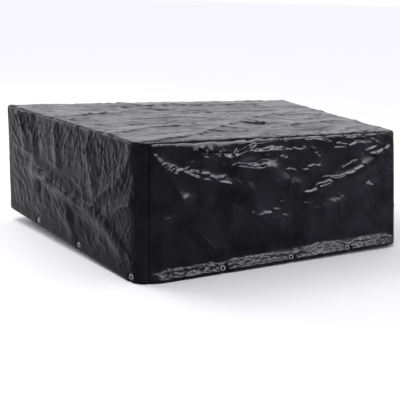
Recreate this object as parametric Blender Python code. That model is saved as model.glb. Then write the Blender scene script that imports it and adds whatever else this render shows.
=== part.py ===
"""Fitted patio furniture cover: a boxy draped sheet of coated cloth with eyelets in its hem.

Metres, +Z up. The origin is the middle of the underside of the top panel, where the furniture
set that the cover hides would hold it up. +X runs along the long side, +Y to the back.

The cover is one welded outer surface, cut into a top panel, four walls and four hem strips.
Each panel becomes a closed sheet: its outer grid, the same grid moved inward by the cloth's
thickness, and a strip of side faces. Panels keep SEAM_GAP between them along their seams.
"""
import math
from collections import namedtuple

import bmesh
import bpy
import numpy as np
from mathutils import Matrix, Vector

# Driving dimensions
LENGTH = 2.00
WIDTH = 1.60
DROP = 0.75
CLOTH = 0.0015
HEM_CLOTH = 0.0022
HEM_HEIGHT = 0.060
SEAM_GAP = 0.00034

# Turned top edge: the depth of the seam under the top
EDGE_ROLL = 0.018

# Eyelets
EYELET_BORE = 0.0085
EYELET_BARREL = 0.0097
EYELET_FLANGE = 0.0180
EYELET_BACK_FLANGE = 0.0170
EYELET_PLATE = 0.0009
EYELET_CLEARANCE = 0.0003
EYELET_SEGMENTS = 12
EYELET_HOLE = 0.0104
EYELET_UP = 0.027
EYELET_FLAT = 0.026
EYELETS_LONG_SIDE = (0.568, 1.075, 1.532)
EYELETS_SHORT_SIDE = (0.078, 0.677, 1.215)

# Corners of the cover. Each row says how far the cloth's corner hangs from the corner of a
# plain box of the driving dimensions, at the top and at the hem, its radius in plan at the top
# and at the hem, and how many degrees of its arc lie before its seam.
Corner = namedtuple(
    "Corner",
    "side_x side_y top_dx top_dy top_dz hem_dx hem_dy hem_dz top_radius hem_radius seam_turn",
)
CORNERS = {
    "front_left": Corner(-1, -1, -0.009, -0.021, 0.017, 0.014, -0.028, -0.025, 0.084, 0.090, 80),
    "front_right": Corner(1, -1, -0.075, 0.062, -0.017, -0.017, 0.017, -0.006, 0.030, 0.045, 45),
    "back_right": Corner(1, 1, 0.122, -0.096, -0.013, 0.097, -0.063, 0.015, 0.030, 0.060, 45),
    "back_left": Corner(-1, 1, -0.084, 0.035, 0.003, -0.057, 0.039, 0.058, 0.030, 0.040, 45),
}
# How late in the drop a corner grows round: it follows the drop to this power
CORNER_ROUNDING_POWER = 3.0

# Walls in order around the cover, each from its first corner to its last
Wall = namedtuple("Wall", "first last")
WALLS = {
    "front": Wall("front_left", "front_right"),
    "right": Wall("front_right", "back_right"),
    "back": Wall("back_right", "back_left"),
    "left": Wall("back_left", "front_left"),
}

# Grid: shares of a wall's length near each end, the cell size between, and the rows of a wall
# from the seam under the top to the seam over the hem
END_COLUMNS = (0.0, 0.006, 0.013, 0.032, 0.060)
CELL = 0.075
EYELET_COLUMN_CLEARANCE = 0.012
WALL_ROWS = (0.0, 0.05, 0.12, 0.21, 0.31, 0.41, 0.51, 0.61, 0.71, 0.81, 0.90, 0.955, 1.0)

# Where the front seam has slipped down and the edge above it is rolled: the seam's depth under
# the top against the distance along the front wall
RolledEdge = namedtuple("RolledEdge", "along depth")
ROLLED_FRONT = (
    RolledEdge(0.12, 0.018),
    RolledEdge(0.24, 0.030),
    RolledEdge(0.40, 0.074),
    RolledEdge(0.60, 0.084),
    RolledEdge(0.78, 0.034),
    RolledEdge(0.95, 0.018),
)

# Main folds of the walls: a route of (distance along the wall, height over the hem) points,
# the half width, and the height of the ridge, negative for a trough
Fold = namedtuple("Fold", "panel half_width height route")
WALL_FOLDS = (
    Fold("front", 0.045, 0.009, ((0.10, 0.70), (0.21, 0.59), (0.32, 0.41))),
    Fold("front", 0.045, 0.014, ((0.20, 0.61), (0.43, 0.55), (0.63, 0.51), (0.76, 0.45))),
    Fold("front", 0.050, -0.012, ((0.22, 0.54), (0.48, 0.49), (0.68, 0.41))),
    Fold("front", 0.045, 0.010, ((0.66, 0.60), (0.94, 0.59))),
    Fold("front", 0.045, 0.012, ((0.89, 0.57), (1.00, 0.50), (1.12, 0.46))),
    Fold("front", 0.050, 0.014, ((1.29, 0.41), (1.46, 0.46), (1.59, 0.49), (1.77, 0.57))),
    Fold("front", 0.050, -0.010, ((1.26, 0.35), (1.51, 0.40), (1.78, 0.47))),
    Fold("front", 0.045, 0.010, ((0.81, 0.34), (0.87, 0.31), (0.98, 0.25))),
    Fold("front", 0.045, 0.009, ((1.22, 0.35), (1.27, 0.33), (1.46, 0.31))),
    Fold("front", 0.045, 0.010, ((0.35, 0.30), (0.46, 0.19), (0.57, 0.13))),
    Fold("front", 0.032, -0.014, ((0.19, 0.07), (0.55, 0.07), (0.86, 0.08), (1.27, 0.09), (1.93, 0.09))),
    Fold("left", 0.050, 0.016, ((0.41, 0.36), (0.65, 0.33), (1.03, 0.29), (1.30, 0.24), (1.48, 0.15))),
    Fold("left", 0.050, -0.013, ((0.49, 0.27), (0.85, 0.23), (1.16, 0.15))),
    Fold("left", 0.045, 0.010, ((1.33, 0.33), (1.58, 0.44))),
    Fold("left", 0.045, 0.010, ((1.22, 0.40), (1.45, 0.52))),
    Fold("left", 0.045, 0.009, ((0.61, 0.32), (0.82, 0.18), (0.91, 0.08))),
    Fold("left", 0.045, 0.009, ((1.09, 0.64), (1.15, 0.54), (1.17, 0.40))),
    Fold("left", 0.045, 0.009, ((1.58, 0.72), (1.49, 0.60))),
    Fold("left", 0.040, 0.008, ((0.18, 0.71), (0.29, 0.49))),
    Fold("left", 0.040, -0.008, ((0.41, 0.69), (0.46, 0.51))),
    Fold("left", 0.040, 0.008, ((0.69, 0.69), (0.72, 0.47))),
    Fold("back", 0.050, 0.014, ((0.10, 0.66), (0.42, 0.52), (0.78, 0.44))),
    Fold("back", 0.050, -0.012, ((0.20, 0.52), (0.56, 0.38))),
    Fold("back", 0.050, 0.013, ((1.92, 0.62), (1.60, 0.44), (1.34, 0.36))),
    Fold("back", 0.045, 0.010, ((0.90, 0.62), (1.18, 0.56), (1.40, 0.58))),
    Fold("back", 0.045, 0.009, ((0.70, 0.26), (0.96, 0.16))),
    Fold("back", 0.035, -0.014, ((0.20, 0.090), (0.90, 0.085), (1.90, 0.090))),
    Fold("right", 0.050, 0.014, ((0.12, 0.62), (0.40, 0.46), (0.66, 0.38))),
    Fold("right", 0.050, -0.010, ((0.24, 0.44), (0.52, 0.30))),
    Fold("right", 0.045, 0.012, ((1.40, 0.66), (1.16, 0.46), (1.00, 0.40))),
    Fold("right", 0.045, 0.009, ((0.62, 0.60), (0.86, 0.62))),
    Fold("right", 0.045, 0.009, ((0.90, 0.26), (1.12, 0.14))),
)
# A fold fades out this close to a corner seam
FOLD_FADE = 0.10
# How far the hem's lower edge stands out from the wall over it
HEM_FLARE = {"front": 0.011, "right": 0.006, "back": 0.007, "left": 0.003}

# Main folds of the top: a route of (x, y) points, the half width and the height
TOP_FOLDS = (
    Fold("top", 0.055, 0.007, ((-0.94, -0.76), (-0.62, -0.64), (-0.21, -0.40), (0.08, -0.21), (0.22, -0.06))),
    Fold("top", 0.060, 0.005, ((-0.98, -0.45), (-0.64, -0.30), (-0.17, -0.28))),
    Fold("top", 0.060, -0.005, ((-0.90, -0.20), (-0.40, -0.10), (0.10, -0.17))),
    Fold("top", 0.060, 0.006, ((-0.17, -0.28), (0.22, -0.06), (0.73, 0.12))),
    Fold("top", 0.060, 0.005, ((0.10, -0.17), (0.44, -0.37), (0.85, -0.28))),
    Fold("top", 0.060, -0.006, ((-0.50, -0.60), (-0.07, -0.56), (0.47, -0.58))),
    Fold("top", 0.070, 0.005, ((-0.95, 0.22), (-0.50, 0.32), (-0.11, 0.49))),
    Fold("top", 0.070, -0.005, ((0.00, 0.30), (0.50, 0.36), (0.95, 0.30))),
    Fold("top", 0.070, 0.005, ((-0.60, 0.66), (0.10, 0.62), (0.70, 0.55))),
)
TOP_FOLD_FADE = 0.09
# The furniture under the cover carries the top at its rim, and the middle sags by this much
TOP_SAG = 0.004


# ---------------------------------------------------------------- shape of the cover

def smoothstep(value):
    """0 at 0 and below, 1 at 1 and above, with soft ends."""
    value = np.clip(value, 0.0, 1.0)
    return value * value * (3.0 - 2.0 * value)


def soft_curve(distance, knots):
    """The second column of a table against its first, blended softly between the rows."""
    result = np.full(np.shape(distance), knots[0][1], float)
    for (start, before), (end, after) in zip(knots, knots[1:]):
        result = result + (after - before) * smoothstep((distance - start) / (end - start))
    return result


def distance_to_route(points, route):
    """Shortest distance from each 2-D point to a chain of straight lines."""
    best = np.full(points.shape[:-1], np.inf)
    for start, end in zip(route, route[1:]):
        start = np.array(start)
        span = np.array(end) - start
        share = np.clip((points - start) @ span / (span @ span), 0.0, 1.0)
        gap = np.linalg.norm(points - start - share[..., None] * span, axis=-1)
        best = np.minimum(best, gap)
    return best


def fold_relief(points, folds, panel):
    """Sum of the panel's folds at 2-D points in that panel's own sizes."""
    relief = np.zeros(points.shape[:-1])
    for fold in folds:
        if fold.panel == panel:
            distance = distance_to_route(points, fold.route)
            relief += fold.height * np.exp(-((distance / fold.half_width) ** 2))
    return relief


def corner_point(name, down):
    """A corner of the cover before rounding, from the top (down 0) to the hem (down 1)."""
    corner = CORNERS[name]
    box = np.array([corner.side_x * LENGTH / 2, corner.side_y * WIDTH / 2])
    top = np.array([*(box + (corner.top_dx, corner.top_dy)), CLOTH + corner.top_dz])
    hem = np.array([*(box + (corner.hem_dx, corner.hem_dy)), corner.hem_dz - DROP])
    return top + (hem - top) * np.asarray(down, float)[..., None]


def corner_radius(name, down):
    """How round a corner is in plan at a level."""
    corner = CORNERS[name]
    growth = np.asarray(down, float) ** CORNER_ROUNDING_POWER
    return corner.top_radius + (corner.hem_radius - corner.top_radius) * growth


def unit(vectors):
    return vectors / np.linalg.norm(vectors, axis=-1, keepdims=True)


def flat_direction(start, end):
    """Unit vector in plan from one point to another."""
    span = end - start
    span[..., 2] = 0.0
    return unit(span)


def seam_distance(name, down, after):
    """Distance of a corner's seam from its sharp corner, along the wall after it or before it."""
    turn = math.radians(CORNERS[name].seam_turn)
    return corner_radius(name, down) * (1.0 - (math.cos(turn) if after else math.sin(turn)))


def arc_offset(distance, radius):
    """How far a rounded corner cuts in, at a distance from its sharp corner."""
    reach = np.clip(radius - distance, 0.0, radius)
    return radius - np.sqrt(radius ** 2 - reach ** 2)


def neighbours(name):
    """The corner before the wall's first one and the corner after its last one."""
    order = list(CORNERS)
    return order[order.index(WALLS[name].first) - 1], order[(order.index(WALLS[name].last) + 1) % 4]


def wall_point(name, along, down):
    """Wall surface without folds. along runs from 0 to 1 between the wall's corner seams.

    Returns the points, the outward directions and the distance from the first sharp corner.
    """
    before, after = neighbours(name)
    first, last = (corner_point(corner, down) for corner in WALLS[name])
    side = flat_direction(first, last)
    into_before = flat_direction(first, corner_point(before, down))
    into_after = flat_direction(last, corner_point(after, down))
    length = np.linalg.norm((last - first)[..., :2], axis=-1)
    first_radius, last_radius = (corner_radius(corner, down) for corner in WALLS[name])
    start = seam_distance(WALLS[name].first, down, True)
    end = seam_distance(WALLS[name].last, down, False)
    distance = start + along * (length - start - end)
    points = first + (last - first) * (distance / length)[..., None]
    points[..., 2] = first[..., 2] + (last - first)[..., 2] * along
    points = points + into_before * arc_offset(distance, first_radius)[..., None]
    points = points + into_after * arc_offset(length - distance, last_radius)[..., None]
    outward = np.stack([side[..., 1], -side[..., 0], np.zeros(side.shape[:-1])], axis=-1)
    return points, outward, distance


def seam_depth(name, along):
    """Depth of the seam between the top panel and a wall, under the top."""
    if name != "front":
        return np.full(np.shape(along), EDGE_ROLL)
    length = np.linalg.norm(corner_point("front_right", 0.0) - corner_point("front_left", 0.0))
    return soft_curve(np.asarray(along) * length, ROLLED_FRONT)


def wall_surface(name, along, level):
    """Wall surface with its folds. level runs from 0 at the top seam to 1 at the hem's edge."""
    first, last = (corner_point(corner, 0.0)[2] - corner_point(corner, 1.0)[2] for corner in WALLS[name])
    drop = first + (last - first) * along
    depth = seam_depth(name, along)
    down = (depth + level * (drop - depth)) / drop
    points, outward, distance = wall_point(name, along, down)
    height = drop * (1.0 - down)
    relief = fold_relief(np.stack([distance, height], axis=-1), WALL_FOLDS, name)
    relief = relief + HEM_FLARE[name] * smoothstep(1.0 - height / HEM_HEIGHT)
    length = np.linalg.norm(corner_point(WALLS[name].last, 0.0) - corner_point(WALLS[name].first, 0.0))
    fade = smoothstep(along * length / FOLD_FADE) * smoothstep((1.0 - along) * length / FOLD_FADE)
    return points + outward * (relief * fade)[..., None]


def hem_level(name, along):
    """The level at which a wall ends and its hem strip begins."""
    first, last = (corner_point(corner, 0.0)[2] - corner_point(corner, 1.0)[2] for corner in WALLS[name])
    drop = first + (last - first) * along
    return 1.0 - HEM_HEIGHT / (drop - seam_depth(name, along))


def top_relief(points):
    """Height of the top over the plane between its corners, away from the edge."""
    relief = fold_relief(points, TOP_FOLDS, "top")
    middle = (1.0 - (2.0 * points[..., 0] / LENGTH) ** 2) * (1.0 - (2.0 * points[..., 1] / WIDTH) ** 2)
    return relief - TOP_SAG * np.clip(middle, 0.0, 1.0)


# ---------------------------------------------------------------- the welded grid

def hem_share(name, distance):
    """Share of a wall's length between its seams, at a distance from its first sharp corner."""
    first, last = (corner_point(corner, 1.0) for corner in WALLS[name])
    length = np.linalg.norm((last - first)[:2])
    start = seam_distance(WALLS[name].first, 1.0, True)
    end = seam_distance(WALLS[name].last, 1.0, False)
    return (distance - start) / (length - start - end)


def column_shares(length, eyelet_shares):
    """Columns of a wall, with a flat cell for each eyelet. Returns them and those cells."""
    inner = np.linspace(END_COLUMNS[-1], 1.0 - END_COLUMNS[-1], round(length / CELL))
    plain = sorted({*END_COLUMNS, *inner[1:-1], *(1.0 - share for share in END_COLUMNS)})
    half = EYELET_FLAT / length
    reach = half + EYELET_COLUMN_CLEARANCE / length
    kept = [share for share in plain if all(abs(share - eyelet) > reach for eyelet in eyelet_shares)
            or share in (END_COLUMNS[0], 1.0 - END_COLUMNS[0])]
    borders = [eyelet + side * half for eyelet in eyelet_shares for side in (-1, 1)]
    columns = np.array(sorted(kept + borders))
    cells = [int(np.argmin(abs(columns - (eyelet - half)))) for eyelet in eyelet_shares]
    return columns, cells


class Cover:
    """The welded outer surface, its normals and the flat cells that hold the eyelets."""

    def __init__(self):
        long_eyelets = [hem_share("front", distance) for distance in EYELETS_LONG_SIDE]
        # The short sides' eyelets are counted from the front corners, so the left wall's are reversed
        left_length = np.linalg.norm((corner_point("back_left", 1.0) - corner_point("front_left", 1.0))[:2])
        short_eyelets = [1.0 - hem_share("left", left_length - distance) for distance in EYELETS_SHORT_SIDE]
        long_columns, long_cells = column_shares(LENGTH, long_eyelets)
        short_columns, short_cells = column_shares(WIDTH, short_eyelets)
        self.columns = {
            "front": long_columns,
            "right": short_columns,
            "back": 1.0 - long_columns[::-1],
            "left": 1.0 - short_columns[::-1],
        }
        self.cells = {
            "front": long_cells,
            "right": short_cells,
            "back": [len(long_columns) - 2 - cell for cell in reversed(long_cells)],
            "left": [len(short_columns) - 2 - cell for cell in reversed(short_cells)],
        }
        self.walls = {name: self.wall_grid(name) for name in WALLS}
        self.top = self.top_grid()
        self.weld()

    def wall_grid(self, name):
        """Rows from the top seam to the seam over the hem, and one more at the hem's edge."""
        along = self.columns[name]
        last_row = hem_level(name, along)
        rows = [share * last_row for share in WALL_ROWS] + [np.ones_like(along)]
        grid = np.array([wall_surface(name, along, level) for level in rows])
        for cell in self.cells[name]:
            drop = grid[-1, cell] - grid[-2, cell]
            grid[-1, cell + 1] = grid[-2, cell + 1] + drop
        return grid

    def top_grid(self):
        """Patch between the four seams, raised over its rim by the turned edge."""
        front, right = self.walls["front"][0], self.walls["right"][0]
        back, left = self.walls["back"][0][::-1], self.walls["left"][0][::-1]
        across, deep = len(front), len(left)
        u = self.columns["front"][:, None, None]
        v = self.columns["right"][None, :, None]
        grid = (1 - v) * front[:, None] + v * back[:, None] + (1 - u) * left[None] + u * right[None]
        grid = grid - (1 - u) * (1 - v) * front[0] - u * (1 - v) * front[-1]
        grid = grid - (1 - u) * v * back[0] - u * v * back[-1]
        a, c, d, b = (corner_point(name, 0.0)[2] for name in CORNERS)
        flat = ((1 - u) * (1 - v) * a + u * (1 - v) * c + u * v * d + (1 - u) * v * b)[..., 0]
        rim = self.rim_distance(grid)
        fade = smoothstep((1.0 - self.columns["right"]) ** 2)
        roll = EDGE_ROLL + (seam_depth("front", self.columns["front"]) - EDGE_ROLL)[:, None] * fade[None]
        sunk = 1.0 - np.clip(rim / roll, 0.0, 1.0)
        turned = roll * (1.0 - np.sqrt(1.0 - sunk ** 2))
        height = flat - turned + top_relief(grid[..., :2]) * smoothstep(rim / TOP_FOLD_FADE)
        inside = (slice(1, across - 1), slice(1, deep - 1))
        grid[inside + (2,)] = height[inside]
        return grid

    @staticmethod
    def rim_distance(grid):
        """Distance in plan from the rounded outline of the top."""
        gaps = {}
        for name, wall in WALLS.items():
            first, last = corner_point(wall.first, 0.0), corner_point(wall.last, 0.0)
            side = flat_direction(first, last)
            inward = np.array([-side[1], side[0]])
            gaps[name] = (grid - first)[..., :2] @ inward
        rim = np.min(list(gaps.values()), axis=0)
        order = list(WALLS)
        for before, after in zip(order[-1:] + order[:-1], order):
            radius = CORNERS[WALLS[after].first].top_radius
            cut = np.hypot(np.clip(radius - gaps[before], 0.0, None), np.clip(radius - gaps[after], 0.0, None))
            inside = (gaps[before] < radius) & (gaps[after] < radius)
            rim = np.where(inside, radius - cut, rim)
        return rim

    def weld(self):
        """Normals shared by the panels that meet at a seam."""
        keys, numbers, grids = {}, [], [self.top, *self.walls.values()]
        for grid in grids:
            rounded = np.round(grid.reshape(-1, 3), 7)
            numbers.append(np.array([keys.setdefault(tuple(point), len(keys)) for point in rounded]))
        total = np.zeros((len(keys), 3))
        for grid, number in zip(grids, numbers):
            number = number.reshape(grid.shape[:2])
            cross = np.cross(grid[1:, 1:] - grid[:-1, :-1], grid[:-1, 1:] - grid[1:, :-1])
            cross = unit(cross)
            for rows in (slice(0, -1), slice(1, None)):
                for columns in (slice(0, -1), slice(1, None)):
                    np.add.at(total, number[rows, columns].ravel(), cross.reshape(-1, 3))
        for (name, grid), number in zip(self.walls.items(), numbers[1:]):
            number = number.reshape(grid.shape[:2])
            for cell in self.cells[name]:
                total[number[-2:, cell:cell + 2].ravel()] = self.flat_cell(name, cell)[1]
        normals = [unit(total)[number].reshape(grid.shape) for grid, number in zip(grids, numbers)]
        self.top_normals = normals[0]
        self.wall_normals = dict(zip(self.walls, normals[1:]))

    def flat_cell(self, name, cell):
        """Lower corner, outward normal, direction along and height of an eyelet's flat cell."""
        grid = self.walls[name]
        up = grid[-2, cell] - grid[-1, cell]
        side = grid[-1, cell + 1] - grid[-1, cell]
        return grid[-1, cell], unit(np.cross(side, up)), side, up


# ---------------------------------------------------------------- solids

def sheet_mesh(name, grid, normals, thickness, seams):
    """Closed sheet: the outer grid, its copy moved inward, and the strip of faces around it."""
    outer = grid + seam_offsets(grid, normals, seams)
    inner = outer - normals * thickness
    rows, columns = grid.shape[:2]
    count = rows * columns
    number = np.arange(count).reshape(rows, columns)
    faces = []
    for row in range(rows - 1):
        for column in range(columns - 1):
            a, b = number[row, column], number[row + 1, column]
            c, d = number[row + 1, column + 1], number[row, column + 1]
            flat = outer.reshape(-1, 3)
            if np.linalg.norm(flat[a] - flat[c]) < np.linalg.norm(flat[b] - flat[d]):
                pair = ((a, b, c), (a, c, d))
            else:
                pair = ((a, b, d), (b, c, d))
            for triangle in pair:
                faces.append(triangle)
                faces.append(tuple(count + corner for corner in reversed(triangle)))
    rim = [*number[:, 0], *number[-1, 1:], *number[-2::-1, -1], *number[0, -2:0:-1]]
    for start, end in zip(rim, rim[1:] + rim[:1]):
        faces.append((end, start, count + start))
        faces.append((end, count + start, count + end))
    mesh = bpy.data.meshes.new(name)
    points = np.concatenate([outer.reshape(-1, 3), inner.reshape(-1, 3)])
    mesh.from_pydata(points.tolist(), [], [tuple(int(corner) for corner in face) for face in faces])
    mesh.update()
    return mesh


def seam_offsets(grid, normals, seams):
    """Moves a panel's seamed sides back by half of the gap, within its own surface."""
    offsets = np.zeros_like(grid)
    sides = {
        "first_row": ((0,), -1),
        "last_row": ((-1,), 1),
        "first_column": ((slice(None), 0), 1),
        "last_column": ((slice(None), -1), -1),
    }
    for seam in seams:
        place, turn = sides[seam]
        line, normal = grid[place], normals[place]
        tangent = unit(np.gradient(line, axis=0))
        offsets[place] += turn * unit(np.cross(normal, tangent)) * SEAM_GAP / 2
    return offsets


def eyelet_mesh():
    """Pressed eyelet turned about +Z, which points out of the cover. Z 0 is the hem's outer face."""
    front = EYELET_CLEARANCE
    back = -HEM_CLOTH - EYELET_CLEARANCE
    middle = (EYELET_BARREL + EYELET_FLANGE) / 2
    profile = (
        (EYELET_BORE, front + EYELET_PLATE),
        (middle, front + 1.5 * EYELET_PLATE),
        (EYELET_FLANGE, front),
        (EYELET_BARREL, front),
        (EYELET_BARREL, back),
        (EYELET_BACK_FLANGE, back),
        (EYELET_BACK_FLANGE, back - EYELET_PLATE),
        (EYELET_BORE, back - EYELET_PLATE),
    )
    form = bmesh.new()
    rings = []
    for step in range(EYELET_SEGMENTS):
        angle = 2.0 * math.pi * step / EYELET_SEGMENTS
        rings.append([form.verts.new((r * math.cos(angle), r * math.sin(angle), z)) for r, z in profile])
    for ring, following in zip(rings, rings[1:] + rings[:1]):
        for corner in range(len(profile)):
            after = (corner + 1) % len(profile)
            form.faces.new((ring[corner], ring[after], following[after], following[corner]))
    bmesh.ops.recalc_face_normals(form, faces=form.faces)
    mesh = bpy.data.meshes.new("eyelet")
    form.to_mesh(mesh)
    form.free()
    mesh.shade_smooth()
    mesh.set_sharp_from_angle(angle=math.radians(35))
    return mesh


def cutter_mesh():
    """Drill for an eyelet's hole."""
    form = bmesh.new()
    bmesh.ops.create_cone(form, cap_ends=True, segments=EYELET_SEGMENTS, radius1=EYELET_HOLE,
                          radius2=EYELET_HOLE, depth=8 * HEM_CLOTH)
    mesh = bpy.data.meshes.new("eyelet_drill")
    form.to_mesh(mesh)
    form.free()
    return mesh


def eyelet_place(cover, name, cell):
    """Matrix of an eyelet: its centre on the hem's outer face, +Z outward, +Y up the cloth."""
    corner, normal, side, up = cover.flat_cell(name, cell)
    centre = corner + side / 2 + up * EYELET_UP / np.linalg.norm(up)
    place = Matrix.Identity(4)
    axes = (unit(np.cross(up, normal)), unit(up), normal)
    for column, axis in enumerate(axes):
        place.col[column].xyz = Vector(axis)
    place.translation = Vector(centre)
    return place


# ---------------------------------------------------------------- materials and objects

def material(name, colour, roughness, metallic=0.0):
    """Principled material of a plain finish."""
    finish = bpy.data.materials.new(name)
    finish.use_nodes = True
    shader = finish.node_tree.nodes["Principled BSDF"]
    shader.inputs["Base Color"].default_value = (*colour, 1.0)
    shader.inputs["Roughness"].default_value = roughness
    shader.inputs["Metallic"].default_value = metallic
    finish.diffuse_color = (*colour, 1.0)
    return finish


def add_object(name, mesh, finish):
    thing = bpy.data.objects.new(name, mesh)
    bpy.context.scene.collection.objects.link(thing)
    if not mesh.materials:
        mesh.materials.append(finish)
    return thing


def add_panel(name, grid, normals, thickness, seams, finish):
    mesh = sheet_mesh(name, grid, normals, thickness, seams)
    mesh.shade_smooth()
    mesh.set_sharp_from_angle(angle=math.radians(40))
    return add_object(name, mesh, finish)


def add_walls(cover, tarpaulin):
    for name, grid in cover.walls.items():
        normals = cover.wall_normals[name]
        seams = ("first_row", "last_row", "first_column", "last_column")
        add_panel(f"wall_{name}", grid[:-1], normals[:-1], CLOTH, seams, tarpaulin)


def add_hems(cover, hem_cloth, eyelet_metal):
    """Hem strips with their drilled holes, and the eyelets pressed into them."""
    ring, drill = eyelet_mesh(), cutter_mesh()
    for name, grid in cover.walls.items():
        normals = cover.wall_normals[name]
        seams = ("first_row", "first_column", "last_column")
        hem = add_panel(f"hem_{name}", grid[-2:], normals[-2:], HEM_CLOTH, seams, hem_cloth)
        for count, cell in enumerate(cover.cells[name], start=1):
            place = eyelet_place(cover, name, cell)
            cutter = add_object(f"drill_{name}_{count}", drill, hem_cloth)
            cutter.matrix_world = place
            cutter.hide_render = True
            cutter.display_type = "WIRE"
            cut = hem.modifiers.new(f"hole_{count}", "BOOLEAN")
            cut.operation = "DIFFERENCE"
            cut.solver = "EXACT"
            cut.object = cutter
            eyelet = add_object(f"eyelet_{name}_{count}", ring, eyelet_metal)
            eyelet.matrix_world = place


def main():
    for thing in list(bpy.data.objects):
        bpy.data.objects.remove(thing, do_unlink=True)
    tarpaulin = material("tarpaulin", (0.012, 0.012, 0.014), 0.38)
    hem_cloth = material("hem_tarpaulin", (0.016, 0.016, 0.018), 0.42)
    eyelet_metal = material("eyelet_metal", (0.78, 0.79, 0.80), 0.28, 1.0)
    cover = Cover()
    rim = ("first_row", "last_row", "first_column", "last_column")
    add_panel("top_panel", cover.top, cover.top_normals, CLOTH, rim, tarpaulin)
    add_walls(cover, tarpaulin)
    add_hems(cover, hem_cloth, eyelet_metal)


main()
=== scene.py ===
"""Looks of the patio furniture cover: a black coated cloth cover with creases, seams and eyelets.

Metres, +Z up, in the frame's own place. The shape of the cover follows the same sizes as its
solids, on a fine grid, with the creases, the gathered hem, the seams and the eyelets added.
"""

import math
from collections import namedtuple

import bmesh
import bpy
import numpy as np
from mathutils import Matrix, Vector


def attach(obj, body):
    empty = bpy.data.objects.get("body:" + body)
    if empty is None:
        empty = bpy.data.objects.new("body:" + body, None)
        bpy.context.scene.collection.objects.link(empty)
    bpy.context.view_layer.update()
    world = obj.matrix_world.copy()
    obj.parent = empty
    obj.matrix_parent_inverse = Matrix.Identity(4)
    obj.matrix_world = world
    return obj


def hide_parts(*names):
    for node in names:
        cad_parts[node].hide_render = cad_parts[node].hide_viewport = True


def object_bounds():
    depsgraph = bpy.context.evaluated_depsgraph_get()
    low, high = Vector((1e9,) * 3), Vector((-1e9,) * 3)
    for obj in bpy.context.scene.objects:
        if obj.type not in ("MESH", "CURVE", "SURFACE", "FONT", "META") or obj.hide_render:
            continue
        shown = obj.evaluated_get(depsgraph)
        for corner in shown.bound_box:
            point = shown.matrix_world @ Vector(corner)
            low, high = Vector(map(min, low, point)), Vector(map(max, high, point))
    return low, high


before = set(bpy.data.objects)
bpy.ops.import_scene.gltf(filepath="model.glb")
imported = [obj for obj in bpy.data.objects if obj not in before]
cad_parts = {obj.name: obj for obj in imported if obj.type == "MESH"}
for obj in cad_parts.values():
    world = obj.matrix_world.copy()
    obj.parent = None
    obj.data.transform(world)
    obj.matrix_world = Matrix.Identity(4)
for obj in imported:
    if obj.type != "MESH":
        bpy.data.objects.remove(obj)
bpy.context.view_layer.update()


def add_object(name, data):
    thing = bpy.data.objects.new(name, data)
    bpy.context.scene.collection.objects.link(thing)
    return thing


def place_matrix(axes, origin):
    """Matrix of a place with its own X, Y and Z axes."""
    place = Matrix.Identity(4)
    for column, axis in enumerate(axes):
        place.col[column].xyz = Vector(axis)
    place.translation = Vector(origin)
    return place


# ---------------- camera

CAMERA_PLACE = (-3.6025, -5.380, 0.943)
CAMERA_YAW = math.radians(56.66)
CAMERA_PITCH = math.radians(-13.05)
CAMERA_ROLL = math.radians(2.80)
CAMERA_LENS = 90.05


def add_camera():
    """Camera at the photograph's view: yaw from +X, pitch up from level, roll about the view."""
    cos_pitch = math.cos(CAMERA_PITCH)
    cos_yaw, sin_yaw = math.cos(CAMERA_YAW), math.sin(CAMERA_YAW)
    forward = Vector((cos_pitch * cos_yaw, cos_pitch * sin_yaw, math.sin(CAMERA_PITCH)))
    level = Vector((sin_yaw, -cos_yaw, 0.0))
    rise = level.cross(forward)
    right = level * math.cos(CAMERA_ROLL) + rise * math.sin(CAMERA_ROLL)
    up = rise * math.cos(CAMERA_ROLL) - level * math.sin(CAMERA_ROLL)
    data = bpy.data.cameras.new("camera")
    data.lens = CAMERA_LENS
    camera = add_object("camera", data)
    camera.matrix_world = place_matrix((right, up, -forward), CAMERA_PLACE)
    bpy.context.scene.camera = camera


# ---------------- sizes of the cover

MM = 0.001

LENGTH = 2.00
WIDTH = 1.60
DROP = 0.75
HEM_HEIGHT = 0.060
# Thickness of the cloth in the solids and here
CLOTH = 0.0015
SHEET = 0.0009

# Turned edge of the top: its depth and its width in plan
EDGE_ROLL = 0.018
EDGE_WIDTH = 0.012
# How much wider than that it is where the seam hangs lower, per metre that it hangs
ROLL_SHARE = 0.08
# How much wider it is on the other three sides
SIDE_WIDTH = 0.020

# Radii of an eyelet, and of the hole in the cloth round its barrel
EYELET_BORE = 0.0085
EYELET_BARREL = 0.0097
EYELET_FLANGE = 0.0180
EYELET_BACK_FLANGE = 0.0170
EYELET_HOLE = 0.0104
# Its height over the hem's edge, and the radius of the flat cloth round it
EYELET_UP = 0.027
EYELET_FLAT = 0.026
# Distances of the eyelets along the front wall and along the left wall, from the front left corner
EYELETS_LONG_SIDE = (0.568, 1.075, 1.532)
EYELETS_SHORT_SIDE = (0.078, 0.677, 1.215)

# A corner of a plain box, the cover's offset from it at the top and at the hem, its radius in plan
# at the top and at the hem, and how many degrees of its arc lie before its seam
Corner = namedtuple(
    "Corner",
    "side_x side_y top_dx top_dy top_dz hem_dx hem_dy hem_dz top_radius hem_radius seam_turn",
)
CORNERS = {
    "front_left": Corner(-1, -1, -0.009, -0.021, 0.017, 0.014, -0.028, -0.025, 0.084, 0.090, 80),
    "front_right": Corner(1, -1, -0.075, 0.062, -0.017, -0.017, 0.017, -0.006, 0.030, 0.045, 45),
    "back_right": Corner(1, 1, 0.122, -0.096, -0.013, 0.097, -0.063, 0.015, 0.030, 0.060, 45),
    "back_left": Corner(-1, 1, -0.084, 0.035, 0.003, -0.057, 0.039, 0.058, 0.030, 0.040, 45),
}
# The radius grows with this power of the way down
CORNER_ROUNDING_POWER = 3.0
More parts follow.
